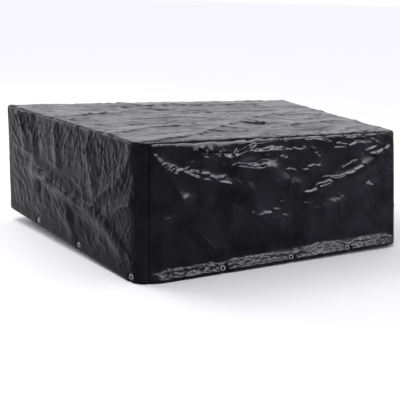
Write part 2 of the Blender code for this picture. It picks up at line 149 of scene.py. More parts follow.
# The walls' corners, from left to right as seen from outside
Wall = namedtuple("Wall", "first last")
WALLS = {
    "front": Wall("front_left", "front_right"),
    "right": Wall("front_right", "back_right"),
    "back": Wall("back_right", "back_left"),
    "left": Wall("back_left", "front_left"),
}
# Distance along the front wall, and how deep its seam hangs there under the top
ROLLED_FRONT = ((0.12, 0.018), (0.24, 0.030), (0.40, 0.074), (0.60, 0.084), (0.78, 0.034), (0.95, 0.018))

# Main folds of the solids: half width, height outward, then the points of the route. On a wall they
# are the distance along the wall and the height over the hem, on the top the distances from the middle.
FOLDS = {}
FOLDS["front"] = (
    (0.045, 0.009, (0.10, 0.70), (0.21, 0.59), (0.32, 0.41)),
    (0.045, 0.014, (0.20, 0.61), (0.43, 0.55), (0.63, 0.51), (0.76, 0.45)),
    (0.050, -0.012, (0.22, 0.54), (0.48, 0.49), (0.68, 0.41)),
    (0.045, 0.010, (0.66, 0.60), (0.94, 0.59)),
    (0.045, 0.012, (0.89, 0.57), (1.00, 0.50), (1.12, 0.46)),
    (0.050, 0.014, (1.29, 0.41), (1.46, 0.46), (1.59, 0.49), (1.77, 0.57)),
    (0.050, -0.010, (1.26, 0.35), (1.51, 0.40), (1.78, 0.47)),
    (0.045, 0.010, (0.81, 0.34), (0.87, 0.31), (0.98, 0.25)),
    (0.045, 0.009, (1.22, 0.35), (1.27, 0.33), (1.46, 0.31)),
    (0.045, 0.010, (0.35, 0.30), (0.46, 0.19), (0.57, 0.13)),
    (0.032, -0.014, (0.19, 0.07), (0.55, 0.07), (0.86, 0.08), (1.27, 0.09), (1.93, 0.09)),
)
FOLDS["left"] = (
    (0.050, 0.016, (0.41, 0.36), (0.65, 0.33), (1.03, 0.29), (1.30, 0.24), (1.48, 0.15)),
    (0.050, -0.013, (0.49, 0.27), (0.85, 0.23), (1.16, 0.15)),
    (0.045, 0.010, (1.33, 0.33), (1.58, 0.44)),
    (0.045, 0.010, (1.22, 0.40), (1.45, 0.52)),
    (0.045, 0.009, (0.61, 0.32), (0.82, 0.18), (0.91, 0.08)),
    (0.045, 0.009, (1.09, 0.64), (1.15, 0.54), (1.17, 0.40)),
    (0.045, 0.009, (1.58, 0.72), (1.49, 0.60)),
    (0.040, 0.008, (0.18, 0.71), (0.29, 0.49)),
    (0.040, -0.008, (0.41, 0.69), (0.46, 0.51)),
    (0.040, 0.008, (0.69, 0.69), (0.72, 0.47)),
)
FOLDS["back"] = (
    (0.050, 0.014, (0.10, 0.66), (0.42, 0.52), (0.78, 0.44)),
    (0.050, -0.012, (0.20, 0.52), (0.56, 0.38)),
    (0.050, 0.013, (1.92, 0.62), (1.60, 0.44), (1.34, 0.36)),
    (0.045, 0.010, (0.90, 0.62), (1.18, 0.56), (1.40, 0.58)),
    (0.045, 0.009, (0.70, 0.26), (0.96, 0.16)),
    (0.035, -0.014, (0.20, 0.090), (0.90, 0.085), (1.90, 0.090)),
)
FOLDS["right"] = (
    (0.050, 0.014, (0.12, 0.62), (0.40, 0.46), (0.66, 0.38)),
    (0.050, -0.010, (0.24, 0.44), (0.52, 0.30)),
    (0.045, 0.012, (1.40, 0.66), (1.16, 0.46), (1.00, 0.40)),
    (0.045, 0.009, (0.62, 0.60), (0.86, 0.62)),
    (0.045, 0.009, (0.90, 0.26), (1.12, 0.14)),
)
FOLDS["top"] = (
    (0.055, 0.007, (-0.94, -0.76), (-0.62, -0.64), (-0.21, -0.40), (0.08, -0.21), (0.22, -0.06)),
    (0.060, 0.005, (-0.98, -0.45), (-0.64, -0.30), (-0.17, -0.28)),
    (0.060, -0.005, (-0.90, -0.20), (-0.40, -0.10), (0.10, -0.17)),
    (0.060, 0.006, (-0.17, -0.28), (0.22, -0.06), (0.73, 0.12)),
    (0.060, 0.005, (0.10, -0.17), (0.44, -0.37), (0.85, -0.28)),
    (0.060, -0.006, (-0.50, -0.60), (-0.07, -0.56), (0.47, -0.58)),
    (0.070, 0.005, (-0.95, 0.22), (-0.50, 0.32), (-0.11, 0.49)),
    (0.070, -0.005, (0.00, 0.30), (0.50, 0.36), (0.95, 0.30)),
    (0.070, 0.005, (-0.60, 0.66), (0.10, 0.62), (0.70, 0.55)),
)
# Distance from a wall's corners, and from the top's rim, over which the folds grow
FOLD_FADE = 0.10
TOP_FOLD_FADE = 0.09
TOP_SAG = 0.004
# Share of a wall's main folds that shows under its creases
FOLD_SHARE = {"front": 0.75, "right": 1.0, "back": 1.0, "left": 1.0}
# How far the hem's edge stands out
HEM_FLARE = {"front": 0.011, "right": 0.006, "back": 0.007, "left": 0.003}


# ---------------- shape shared with the solids

def smoothstep(value):
    value = np.clip(value, 0.0, 1.0)
    return value * value * (3.0 - 2.0 * value)


def soft_curve(distance, knots):
    """The second column of a table against its first, blended softly between the rows."""
    result = np.full(np.shape(distance), knots[0][1], float)
    for (start, before), (end, after) in zip(knots, knots[1:]):
        result = result + (after - before) * smoothstep((distance - start) / (end - start))
    return result


def nearest_on_route(points, route):
    """Signed distance to a chain of lines, plus on its left, the way along it and its length."""
    best = np.full(points.shape[:-1], np.inf)
    signed, travelled = np.zeros_like(best), np.zeros_like(best)
    done = 0.0
    for start, end in zip(route, route[1:]):
        start = np.array(start, float)
        span = np.array(end, float) - start
        length = np.linalg.norm(span)
        share = np.clip((points - start) @ span / length ** 2, 0.0, 1.0)
        away = points - start - share[..., None] * span
        gap = np.linalg.norm(away, axis=-1)
        side = np.sign(span[0] * away[..., 1] - span[1] * away[..., 0])
        nearer = gap < best
        best = np.where(nearer, gap, best)
        signed = np.where(nearer, gap * np.where(side == 0, 1, side), signed)
        travelled = np.where(nearer, done + share * length, travelled)
        done += length
    return signed, travelled, done


def fold_relief(points, panel):
    """Height of a panel's main folds at its points."""
    relief = np.zeros(points.shape[:-1])
    for half_width, height, *route in FOLDS[panel]:
        distance = nearest_on_route(points, route)[0]
        relief += height * np.exp(-((distance / half_width) ** 2))
    return relief


def corner_point(name, down):
    """A corner before rounding, from the top (down 0) to the hem (down 1)."""
    corner = CORNERS[name]
    box = np.array([corner.side_x * LENGTH / 2, corner.side_y * WIDTH / 2])
    top = np.array([*(box + (corner.top_dx, corner.top_dy)), CLOTH + corner.top_dz])
    hem = np.array([*(box + (corner.hem_dx, corner.hem_dy)), corner.hem_dz - DROP])
    return top + (hem - top) * np.asarray(down, float)[..., None]


def wall_ends(name, down):
    """The two corners of a wall before rounding."""
    return [corner_point(corner, down) for corner in WALLS[name]]


def corner_radius(name, down):
    corner = CORNERS[name]
    growth = np.asarray(down, float) ** CORNER_ROUNDING_POWER
    return corner.top_radius + (corner.hem_radius - corner.top_radius) * growth


def unit(vectors):
    return vectors / np.linalg.norm(vectors, axis=-1, keepdims=True)


def flat_direction(start, end):
    """Level direction from one point to another."""
    span = end - start
    span[..., 2] = 0.0
    return unit(span)


def wall_frame(name):
    """A wall's upper corners before rounding, the level way along it and the way inward in plan."""
    first, last = wall_ends(name, 0.0)
    side = flat_direction(first, last)
    return first, last, side, np.array([-side[1], side[0]])


def seam_distance(name, down, after):
    """Distance of a corner's seam from its sharp corner, along the wall after it or before it."""
    turn = math.radians(CORNERS[name].seam_turn)
    return corner_radius(name, down) * (1.0 - (math.cos(turn) if after else math.sin(turn)))


def seam_distances(name, down):
    """Distances of a wall's two seams from its sharp corners."""
    return seam_distance(WALLS[name].first, down, True), seam_distance(WALLS[name].last, down, False)


def arc_offset(distance, radius):
    """How far a rounded corner lies inside a wall, at a distance from the sharp corner."""
    reach = np.clip(radius - distance, 0.0, radius)
    return radius - np.sqrt(radius ** 2 - reach ** 2)


def neighbours(name):
    """The corners before and after a wall's own two."""
    order = list(CORNERS)
    first, last = (order.index(corner) for corner in WALLS[name])
    return order[first - 1], order[(last + 1) % len(order)]


def wall_point(name, along, down):
    """Wall surface without folds, its outward direction, and the distance from its first corner."""
    before, after = neighbours(name)
    first, last = wall_ends(name, down)
    side = flat_direction(first, last)
    into_before = flat_direction(first, corner_point(before, down))
    into_after = flat_direction(last, corner_point(after, down))
    length = np.linalg.norm((last - first)[..., :2], axis=-1)
    first_radius, last_radius = (corner_radius(corner, down) for corner in WALLS[name])
    start, end = seam_distances(name, down)
    distance = start + along * (length - start - end)
    points = first + (last - first) * (distance / length)[..., None]
    points[..., 2] = first[..., 2] + (last - first)[..., 2] * along
    points = points + into_before * arc_offset(distance, first_radius)[..., None]
    points = points + into_after * arc_offset(length - distance, last_radius)[..., None]
    outward = np.stack([side[..., 1], -side[..., 0], np.zeros(side.shape[:-1])], axis=-1)
    return points, outward, distance


def seam_depth(name, along):
    """How deep a wall's seam hangs under the top."""
    if name != "front":
        return np.full(np.shape(along), EDGE_ROLL)
    first, last = wall_ends(name, 0.0)
    return soft_curve(np.asarray(along) * np.linalg.norm(last - first), ROLLED_FRONT)


def wall_drop(name, along):
    """Height of a wall, from the top's corners to the hem."""
    first, last = (corner_point(corner, 0.0)[2] - corner_point(corner, 1.0)[2] for corner in WALLS[name])
    return first + (last - first) * along


def wall_surface(name, along, level):
    """Wall with the solids' folds: points, distance along the wall and height over the hem."""
    drop = wall_drop(name, along)
    depth = seam_depth(name, along)
    down = (depth + level * (drop - depth)) / drop
    points, outward, distance = wall_point(name, along, down)
    height = drop * (1.0 - down)
    relief = FOLD_SHARE[name] * fold_relief(np.stack([distance, height], axis=-1), name)
    relief = relief + HEM_FLARE[name] * smoothstep(1.0 - height / HEM_HEIGHT)
    first, last = wall_ends(name, 0.0)
    length = np.linalg.norm(last - first)
    fade = smoothstep(along * length / FOLD_FADE) * smoothstep((1.0 - along) * length / FOLD_FADE)
    return points + outward * (relief * fade)[..., None], distance, height


def hem_share(name, distance):
    """A distance along a wall's hem as a share between its corner seams."""
    first, last = wall_ends(name, 1.0)
    length = np.linalg.norm((last - first)[:2])
    start, end = seam_distances(name, 1.0)
    return (distance - start) / (length - start - end)


def eyelet_shares(name):
    """Places of a wall's eyelets as shares between its corner seams."""
    if name in ("front", "back"):
        shares = [hem_share("front", distance) for distance in EYELETS_LONG_SIDE]
    else:
        first, last = wall_ends("left", 1.0)
        length = np.linalg.norm((last - first)[:2])
        shares = [1.0 - hem_share("left", length - distance) for distance in EYELETS_SHORT_SIDE]
    return shares if name in ("front", "right") else [1.0 - share for share in reversed(shares)]


EyeletPlane = namedtuple("EyeletPlane", "centre normal up")


def eyelet_plane(name, share):
    """Centre of an eyelet on the cloth, its outward normal and the way up the cloth."""
    half = EYELET_FLAT / (LENGTH if name in ("front", "back") else WIDTH)
    along = np.array([share - half, share + half])
    level = 1.0 - HEM_HEIGHT / (wall_drop(name, along) - seam_depth(name, along))
    over = wall_surface(name, along, level)[0]
    under = wall_surface(name, along, np.ones(2))[0]
    up = over[0] - under[0]
    side = over[1] - over[0]
    centre = under[0] + side / 2 + unit(up) * EYELET_UP
    return EyeletPlane(centre, unit(np.cross(side, up)), unit(up))


def top_surface(u, v):
    """Top panel between the four seams, with its folds, the distance from its rim and its fall there."""
    front, right = wall_surface("front", u, 0 * u)[0], wall_surface("right", v, 0 * v)[0]
    back, left = wall_surface("back", 1 - u, 0 * u)[0], wall_surface("left", 1 - v, 0 * v)[0]
    across, deep = u[:, None, None], v[None, :, None]
    grid = (1 - deep) * front[:, None] + deep * back[:, None]
    grid = grid + (1 - across) * left[None] + across * right[None]
    shares = {
        "front_left": (1 - across) * (1 - deep),
        "front_right": across * (1 - deep),
        "back_left": (1 - across) * deep,
        "back_right": across * deep,
    }
    for share, corner in zip(shares.values(), (front[0], front[-1], back[0], back[-1])):
        grid = grid - share * corner
    flat = sum(shares[name] * corner_point(name, 0.0)[2] for name in CORNERS)
    rim = rim_distance(grid)
    fade = smoothstep((1.0 - v) ** 2)
    extra = (seam_depth("front", u) - EDGE_ROLL)[:, None] * fade[None]
    width = EDGE_WIDTH + SIDE_WIDTH * (1.0 - fade)[None] + ROLL_SHARE * extra
    sunk = 1.0 - np.clip(rim / width, 0.0, 1.0)
    relief = fold_relief(grid[..., :2], "top")
    middle = (1 - (2 * grid[..., 0] / LENGTH) ** 2) * (1 - (2 * grid[..., 1] / WIDTH) ** 2)
    relief = (relief - TOP_SAG * np.clip(middle, 0, 1)) * smoothstep(rim / TOP_FOLD_FADE)
    fall = (EDGE_ROLL + extra) * (1.0 - np.sqrt(1.0 - sunk ** 2))
    grid[1:-1, 1:-1, 2] = (flat[..., 0] - fall + relief)[1:-1, 1:-1]
    return grid, rim, fall


def rim_distance(grid):
    """Distance in plan from the rounded outline of the top."""
    gaps = {}
    for name in WALLS:
        first, _, _, inward = wall_frame(name)
        gaps[name] = (grid - first)[..., :2] @ inward
    rim = np.min(list(gaps.values()), axis=0)
    order = list(WALLS)
    for before, after in zip(order[-1:] + order[:-1], order):
        radius = CORNERS[WALLS[after].first].top_radius
        cut = np.hypot(np.clip(radius - gaps[before], 0.0, None), np.clip(radius - gaps[after], 0.0, None))
        inside = (gaps[before] < radius) & (gaps[after] < radius)
        rim = np.where(inside, radius - cut, rim)
    return rim


# ---------------- creases

# Creases of each panel: height in mm, plus outward, how wide the crease is on its left and on its
# right in mm, then the points of its route in mm. On a wall they are the distance along the wall
# and the height over the hem, on the top the distances from the middle.
CREASES = {}
CREASES["front"] = (
    # Fan from the upper left corner
    (5, 22, 30, (85, 733), (113, 698), (138, 667), (161, 644), (178, 627)),
    (8, 22, 20, (147, 661), (167, 646)),
    (3.8, 14, 14, (176, 669), (189, 647)),
    (6.5, 14, 16, (180, 622), (204, 634), (228, 644), (239, 647)),
    (3.4, 10, 14, (235, 626), (261, 626), (288, 629)),
    (2.5, 10, 14, (212, 621), (233, 614), (257, 603)),
    (5, 13, 26, (281, 615), (315, 606), (335, 593), (355, 583), (376, 577), (404, 560)),
    (2.7, 8, 12, (332, 613), (358, 612), (389, 605)),
    (-2.1, 7, 7, (331, 629), (397, 623)),
    (4.1, 11, 14, (412, 594), (440, 593), (470, 589)),
    (1.9, 8, 12, (404, 562), (438, 560), (476, 553)),
    (3.1, 11, 12, (467, 577), (494, 566), (508, 554)),
    (3.6, 11, 10, (523, 563), (554, 559)),
    (4.2, 10, 16, (521, 544), (549, 534), (584, 528), (623, 516)),
    (2.4, 8, 12, (470, 510), (497, 506), (523, 506)),
    (2.1, 9, 24, (608, 507), (640, 486), (664, 468), (691, 463), (714, 464)),
    (5.3, 33, 30, (200, 586), (246, 528), (277, 475), (303, 436)),
    (1.7, 8, 16, (191, 615), (209, 579), (239, 540), (256, 516)),
    (1.7, 8, 12, (207, 583), (240, 581), (271, 580)),
    # Along the turned edge
    (3.8, 10, 14, (343, 726), (377, 730), (405, 732), (429, 737)),
    (4.1, 14, 14, (391, 733), (419, 734), (440, 742)),
    (-0.7, 7, 7, (348, 782), (368, 774), (401, 773)),
    (10.7, 25, 14, (460, 718), (477, 713), (491, 715)),
    (-1.9, 8, 8, (442, 758), (436, 728)),
    (3.1, 8, 12, (423, 687), (447, 684), (464, 685)),
    (2.6, 14, 20, (398, 712), (426, 693), (447, 685)),
    (3.6, 20, 16, (501, 704), (537, 675), (558, 668)),
    (-0.8, 7, 7, (511, 776), (570, 777), (610, 776), (645, 771), (712, 767), (754, 769), (785, 766)),
    (-1.3, 9, 9, (787, 763), (817, 763), (839, 761), (863, 754)),
    (4.1, 14, 18, (495, 733), (545, 743), (589, 751), (631, 749), (673, 743), (708, 745), (743, 749),
     (789, 742)),
    (10.6, 26, 24, (551, 705), (568, 680), (601, 670), (629, 669)),
    (6.1, 13, 20, (622, 669), (657, 675), (685, 686), (714, 697), (742, 705), (771, 715), (803, 731)),
    (9.7, 21, 16, (710, 695), (757, 691), (816, 690), (861, 691), (920, 691), (981, 688), (1039, 683)),
    (3.1, 9, 10, (1023, 694), (1058, 683), (1090, 675), (1113, 672)),
    (5, 11, 12, (1069, 694), (1097, 684), (1121, 678), (1144, 680), (1172, 685)),
    (3.3, 10, 10, (1155, 699), (1176, 681), (1196, 671)),
    (2.5, 12, 16, (1207, 689), (1231, 682), (1260, 664)),
    (3.2, 15, 20, (1233, 662), (1266, 635), (1296, 616)),
    (5, 13, 12, (854, 665), (876, 664), (899, 668)),
    (9.8, 21, 18, (625, 624), (668, 618), (704, 610), (740, 602), (777, 596), (813, 594), (841, 594),
     (855, 599), (889, 601)),
    (-2.9, 7, 7, (755, 622), (790, 602)),
    (-2.6, 7, 7, (824, 624), (847, 603)),
    (-1.6, 7, 7, (622, 638), (684, 635), (742, 632), (804, 631)),
    (3, 13, 20, (1021, 566), (1057, 567), (1084, 559), (1116, 547)),
    (2.4, 15, 16, (971, 641), (1015, 635), (1042, 636)),
    (1.9, 12, 20, (887, 623), (913, 604), (948, 585)),
    (-1, 9, 9, (984, 766), (1011, 760), (1049, 759)),
    (3.6, 11, 12, (964, 759), (1001, 743), (1025, 734), (1048, 735)),
    (-1.8, 7, 7, (902, 764), (933, 753), (967, 747)),
    (5.6, 12, 16, (1153, 736), (1212, 732), (1252, 732), (1293, 725), (1342, 715), (1388, 705)),
    (-1.1, 7, 7, (1284, 756), (1297, 746)),
    (3.7, 9, 12, (1399, 669), (1436, 669), (1478, 667), (1516, 665)),
    (3.2, 8, 9, (1413, 696), (1451, 693), (1485, 686), (1523, 682)),
    (4.3, 11, 14, (1186, 569), (1218, 568), (1238, 574), (1266, 575)),
    (4.6, 11, 12, (1262, 570), (1282, 568), (1302, 572)),
    (3.6, 9, 12, (1147, 555), (1183, 552), (1215, 551)),
    (1.9, 9, 14, (1297, 594), (1314, 577), (1340, 557)),
    (2, 12, 14, (1376, 626), (1418, 625)),
    (4.3, 9, 9, (1461, 734), (1499, 730)),
    (1.7, 9, 9, (1487, 743), (1525, 739), (1559, 738)),
    (4.4, 11, 12, (1495, 723), (1533, 721), (1567, 720), (1592, 726), (1627, 725), (1688, 715)),
    (5.2, 11, 16, (1519, 673), (1553, 678), (1578, 683), (1603, 688), (1647, 685), (1699, 682), (1743, 678)),
    (3.5, 12, 18, (1710, 711), (1751, 690), (1787, 669), (1815, 655)),
    (4.3, 11, 14, (1658, 631), (1693, 634), (1727, 643), (1761, 652), (1792, 658)),
    (4.8, 12, 16, (1705, 612), (1750, 608), (1775, 608), (1805, 618), (1838, 632)),
    (5.7, 13, 12, (1834, 630), (1861, 634), (1892, 649)),
    (3.3, 13, 12, (1862, 610), (1885, 612), (1907, 623)),
    # Diagonals on the right
    (3.4, 11, 22, (1463, 537), (1509, 551), (1542, 561), (1571, 569), (1613, 585)),
    (4.2, 10, 10, (1550, 568), (1580, 573)),
    (3.9, 11, 14, (1575, 517), (1604, 521), (1625, 531), (1653, 539)),
    (4, 11, 10, (1647, 555), (1679, 554)),
    (5.2, 11, 22, (1377, 495), (1407, 483), (1438, 483), (1471, 487), (1507, 490)),
    (4.2, 10, 12, (1501, 502), (1528, 500), (1561, 503)),
    (3, 10, 12, (1554, 506), (1586, 507)),
    (2.3, 9, 12, (1615, 503), (1665, 503)),
    (1.9, 10, 20, (1637, 503), (1710, 465), (1740, 448)),
    (1.8, 10, 14, (1770, 523), (1816, 516), (1861, 500), (1915, 496)),
    (1.5, 9, 12, (1819, 391), (1868, 386), (1913, 385)),
    (1.9, 12, 16, (1697, 426), (1721, 409), (1754, 403)),
    (5.3, 12, 34, (1165, 415), (1222, 413), (1251, 419), (1278, 429), (1313, 438)),
    (9.1, 20, 22, (1265, 450), (1302, 445), (1325, 443), (1349, 450), (1381, 455)),
    (2.6, 9, 12, (1370, 464), (1401, 464)),
    (2, 8, 10, (1294, 486), (1314, 496), (1346, 497), (1381, 496)),
    (2.8, 11, 14, (1102, 432), (1124, 414), (1147, 397)),
    (1.8, 7, 10, (1038, 457), (1086, 452), (1137, 448)),
    (2.4, 15, 16, (1027, 476), (1060, 478), (1087, 486)),
    (3.3, 10, 14, (952, 479), (987, 476), (1026, 480)),
    (3.3, 11, 26, (868, 548), (900, 529), (932, 511), (979, 500)),
    (2.2, 17, 30, (694, 562), (734, 523), (762, 492), (786, 458)),
    (2.3, 11, 16, (1442, 389), (1468, 366), (1489, 346)),
    # Middle
    (5.9, 13, 18, (760, 342), (787, 323), (809, 313), (830, 310), (851, 315)),
    (4.1, 12, 16, (837, 313), (880, 317), (904, 316), (927, 308)),
    (2.7, 11, 24, (828, 304), (863, 281), (895, 261), (937, 240)),
    (1.8, 7, 10, (908, 290), (942, 285), (978, 284)),
    (3.3, 10, 10, (972, 376), (999, 373), (1033, 374)),
    (3.5, 11, 14, (926, 340), (961, 328), (997, 332)),
    (4.6, 13, 12, (1004, 293), (1040, 284), (1069, 285)),
    (3.3, 11, 16, (1151, 348), (1185, 347), (1227, 347)),
    (4.3, 11, 12, (1179, 328), (1210, 321), (1238, 323)),
    (3.1, 10, 14, (1239, 312), (1276, 304), (1311, 305)),
    (1.8, 9, 12, (1310, 312), (1346, 309), (1382, 309)),
    (1.5, 8, 14, (589, 235), (644, 222), (712, 220)),
    (2.4, 9, 14, (144, 355), (173, 360), (209, 366)),
    (1.9, 10, 16, (215, 214), (238, 215), (264, 217)),
    (1.9, 10, 16, (256, 230), (277, 240), (309, 255)),
    (1.4, 9, 16, (271, 218), (291, 206), (318, 197)),
    (2.3, 8, 20, (309, 183), (346, 173), (381, 161), (432, 144)),
    (2, 12, 34, (327, 324), (355, 290), (391, 260), (422, 236)),
    (3.2, 11, 24, (455, 199), (481, 172), (506, 152), (531, 143)),
    (2.4, 8, 12, (479, 141), (509, 137), (546, 135)),
    (2.8, 17, 14, (426, 141), (473, 136)),
    (1.7, 9, 16, (410, 223), (440, 213), (469, 187)),
    # Packing folds that run down the wall
    (-1.4, 9, 5, (1021, 638), (1039, 298), (1028, 119)),
    (1.5, 9, 30, (1040, 598), (1053, 300), (1049, 130)),
    (-0.8, 8, 8, (502, 494), (506, 194), (499, 114)),
    (1.5, 12, 26, (1444, 421), (1476, 243), (1528, 113)),
)
CREASES["left"] = (
    # Short creases round the front corner
    (3.4, 8, 10, (1565, 535), (1605, 528), (1645, 512)),
    (2.6, 7, 10, (1560, 446), (1600, 452), (1640, 440)),
    (2.0, 7, 9, (1580, 660), (1610, 640), (1645, 636)),
    (2.4, 8, 10, (1570, 352), (1615, 340), (1640, 318)),
    (2.2, 7, 9, (1590, 215), (1640, 232)),
    (2.6, 7, 9, (1585, 112), (1615, 120), (1650, 104)),
    # Long diagonal, with the lighter plane under it
    (4.5, 24, 60, (279, 305), (443, 330), (579, 355), (671, 337), (817, 310), (927, 289), (1033, 270)),
    (7.2, 18, 60, (1036, 306), (1130, 314), (1235, 289), (1327, 266), (1388, 252)),
    (6, 15, 40, (1389, 246), (1443, 209), (1493, 190), (1566, 150), (1593, 103)),
    (1.2, 14, 16, (723, 332), (817, 310), (922, 281), (1015, 263)),
    (-4, 16, 16, (598, 368), (672, 361), (814, 337), (986, 319), (1090, 309)),
    (-3, 10, 14, (1404, 327), (1422, 275), (1423, 231)),
    # Creases that meet the long diagonal
    (4.5, 12, 22, (1146, 301), (1209, 364), (1325, 457), (1411, 502), (1487, 526)),
    (6, 10, 22, (1401, 344), (1464, 383), (1536, 416), (1626, 458)),
    (3, 10, 16, (1399, 337), (1382, 286), (1401, 258)),
    (3, 10, 14, (1033, 340), (1108, 394), (1178, 459)),
    (4.5, 10, 14, (1620, 553), (1640, 552), (1656, 540)),
    (2.5, 8, 10, (1612, 460), (1638, 460)),
    # Near the front corner
    (4, 18, 14, (1603, 778), (1589, 728), (1555, 662), (1520, 605)),
    (3.5, 14, 12, (1497, 734), (1487, 678), (1485, 629)),
    (3, 12, 16, (1514, 604), (1497, 539), (1464, 476)),
    (3, 14, 14, (1393, 738), (1389, 682), (1361, 626)),
    (3, 16, 12, (1308, 697), (1275, 640), (1312, 598)),
    (3, 18, 20, (1566, 643), (1608, 599), (1620, 548)),
    (2.5, 16, 18, (1480, 303), (1542, 255), (1592, 192)),
    # Near the back corner
    (5, 16, 22, (180, 684), (234, 627), (273, 564), (307, 512)),
    (4, 14, 20, (63, 571), (147, 509), (225, 449)),
    (4, 16, 24, (73, 461), (202, 457), (324, 449), (467, 451)),
    (-4, 14, 14, (124, 671), (164, 628), (213, 574)),
    (4, 16, 20, (301, 680), (320, 621), (400, 563)),
    (3.5, 16, 20, (62, 347), (194, 339), (344, 349), (560, 387)),
    (-3, 20, 20, (140, 404), (285, 399), (464, 403)),
    # Upright crinkles under the rim
    (2.6, 9, 9, (440, 673), (403, 595), (375, 510)),
    (2.2, 8, 8, (518, 676), (483, 593)),
    (2.8, 9, 9, (646, 714), (612, 647), (518, 566), (439, 507)),
    (2.4, 8, 8, (702, 709), (677, 629), (641, 564)),
    (2.8, 9, 8, (781, 729), (752, 662), (690, 587)),
    (2.4, 9, 8, (855, 721), (799, 648), (747, 574)),
    (2.4, 8, 9, (913, 719), (863, 650), (817, 596)),
    (2.4, 9, 8, (984, 717), (964, 661), (924, 592)),
    (2.6, 8, 9, (1045, 724), (1012, 650), (991, 583)),
    (2.8, 9, 10, (1109, 728), (1135, 666), (1171, 602)),
    (2.6, 9, 9, (1194, 744), (1216, 684), (1247, 622)),
    (2.4, 10, 10, (570, 648), (554, 590), (597, 545)),
    (2.4, 12, 12, (348, 649), (329, 579), (299, 517)),
    (3, 14, 12, (797, 589), (871, 580), (972, 593), (1120, 636)),
    (3, 14, 12, (400, 488), (539, 541), (716, 571), (797, 563)),
    (2.6, 12, 14, (1166, 639), (1182, 618), (1166, 583)),
    # Middle
    (3, 14, 20, (576, 466), (697, 456), (794, 455)),
    (3, 12, 18, (620, 373), (692, 439), (869, 489), (905, 481)),
    (2.8, 14, 18, (919, 546), (1025, 536), (1114, 509), (1202, 505)),
    (2.6, 12, 14, (1123, 594), (1101, 531), (1144, 485), (1095, 414)),
    (2.6, 14, 14, (892, 427), (969, 405), (1082, 388)),
    (2.6, 14, 18, (1242, 587), (1330, 564), (1433, 562), (1525, 579)),
    (2.6, 16, 16, (1202, 505), (1267, 492), (1359, 516)),
    (-2.6, 16, 16, (793, 415), (892, 398), (1000, 384)),
    # Lower part
    (4, 14, 24, (599, 251), (680, 208), (769, 157), (841, 113)),
    (-3.5, 14, 16, (691, 287), (759, 218), (842, 168)),
    (3, 18, 24, (63, 146), (301, 195), (488, 220), (612, 221)),
    (3, 18, 24, (118, 70), (326, 126), (495, 159), (629, 157)),
    (3, 16, 20, (409, 97), (574, 105), (732, 87)),
    (2.6, 12, 14, (707, 27), (862, 27), (983, 37)),
    (2.6, 14, 18, (938, 193), (1019, 145), (1092, 119), (1124, 58)),
    (2.6, 14, 20, (1149, 207), (1211, 155), (1308, 115), (1352, 83)),
    (3, 12, 16, (1125, 44), (1307, 68), (1482, 58)),
    (3, 12, 14, (1397, 97), (1483, 67), (1578, 36)),
    (3, 10, 12, (1568, 33), (1604, 52), (1625, 50)),
)
CREASES["top"] = (
    # Routes as distances from the middle
    (6, 30, 18, (-930, -770), (-640, -680), (-400, -540), (-210, -400), (80, -210), (220, -60)),
    (6, 18, 14, (80, -210), (140, -260), (260, -300)),
    (6, 14, 18, (160, -120), (200, -220), (220, -340)),
    (5, 16, 16, (220, -60), (400, -20), (620, 100)),
    (5, 24, 16, (-1000, -480), (-860, -430), (-640, -300), (-170, -280)),
    (5, 24, 16, (-980, -300), (-700, -140), (-400, -120), (-100, -180)),
    (-4, 20, 20, (-940, -600), (-600, -500), (-300, -460)),
    (5, 18, 18, (-660, 40), (-200, 70), (100, -50)),
    (5, 18, 18, (-990, 200), (-510, 320), (-110, 490)),
    (4, 16, 16, (100, -450), (440, -370), (850, -280)),
    (-4, 16, 16, (-580, -650), (-70, -620), (470, -620)),
    (5, 14, 14, (-200, 220), (300, 260), (800, 200)),
    (4, 14, 14, (-600, 600), (0, 580), (660, 500)),
)
CREASES["right"] = (
    # Out of the camera's view, with the same kinds of creases
    (8, 14, 26, (50, 680), (160, 600), (300, 500), (460, 430)),
    (7, 14, 24, (460, 430), (620, 400), (740, 330)),
    (8, 24, 14, (1420, 690), (1300, 600), (1160, 470), (980, 400)),
    (6, 12, 18, (600, 600), (740, 625), (880, 618)),
    (6, 14, 22, (860, 280), (980, 210), (1140, 130)),
    (6, 14, 22, (220, 300), (360, 220), (540, 180)),
)
CREASES["back"] = (
    # Out of the camera's view, with the same kinds of creases
    (8, 14, 26, (50, 690), (200, 620), (420, 520), (600, 480), (800, 440)),
    (7, 14, 24, (800, 440), (1000, 430), (1140, 380)),
    (8, 24, 14, (2050, 680), (1860, 590), (1600, 440), (1320, 360)),
    (6, 12, 18, (880, 620), (1040, 590), (1180, 560), (1420, 585)),
    (6, 14, 22, (660, 280), (800, 220), (980, 160)),
    (6, 14, 22, (1500, 280), (1660, 220), (1800, 190)),
)

# Share of a crease's length that each pointed end takes, and the share of its height left there
CREASE_TIP = 0.16
CREASE_END = 0.15
# Roundness of its ridge as a share of its widths, softness of its foot, and what is cut off the foot
CREASE_CREST = 0.055
CREASE_FOOT = 0.03
CREASE_CUT = 0.004
# How many widths away it still has a foot
CREASE_REACH = 3
# It wanders sideways by this much, over this length
CREASE_WANDER = 0.0022
CREASE_STEP = 0.052
# Its height is this share of the one asked for, give or take the next, over this length
CREASE_HEIGHT = 0.95
CREASE_UNEVEN = 0.25
CREASE_BREAK = 0.045
# Each crease takes its own row of the noise, from the place of its first point
CREASE_ROW = 40.0
CREASE_FIRST_ROW = 0.37
WANDER_SEED = 71
BREAK_SEED = 72

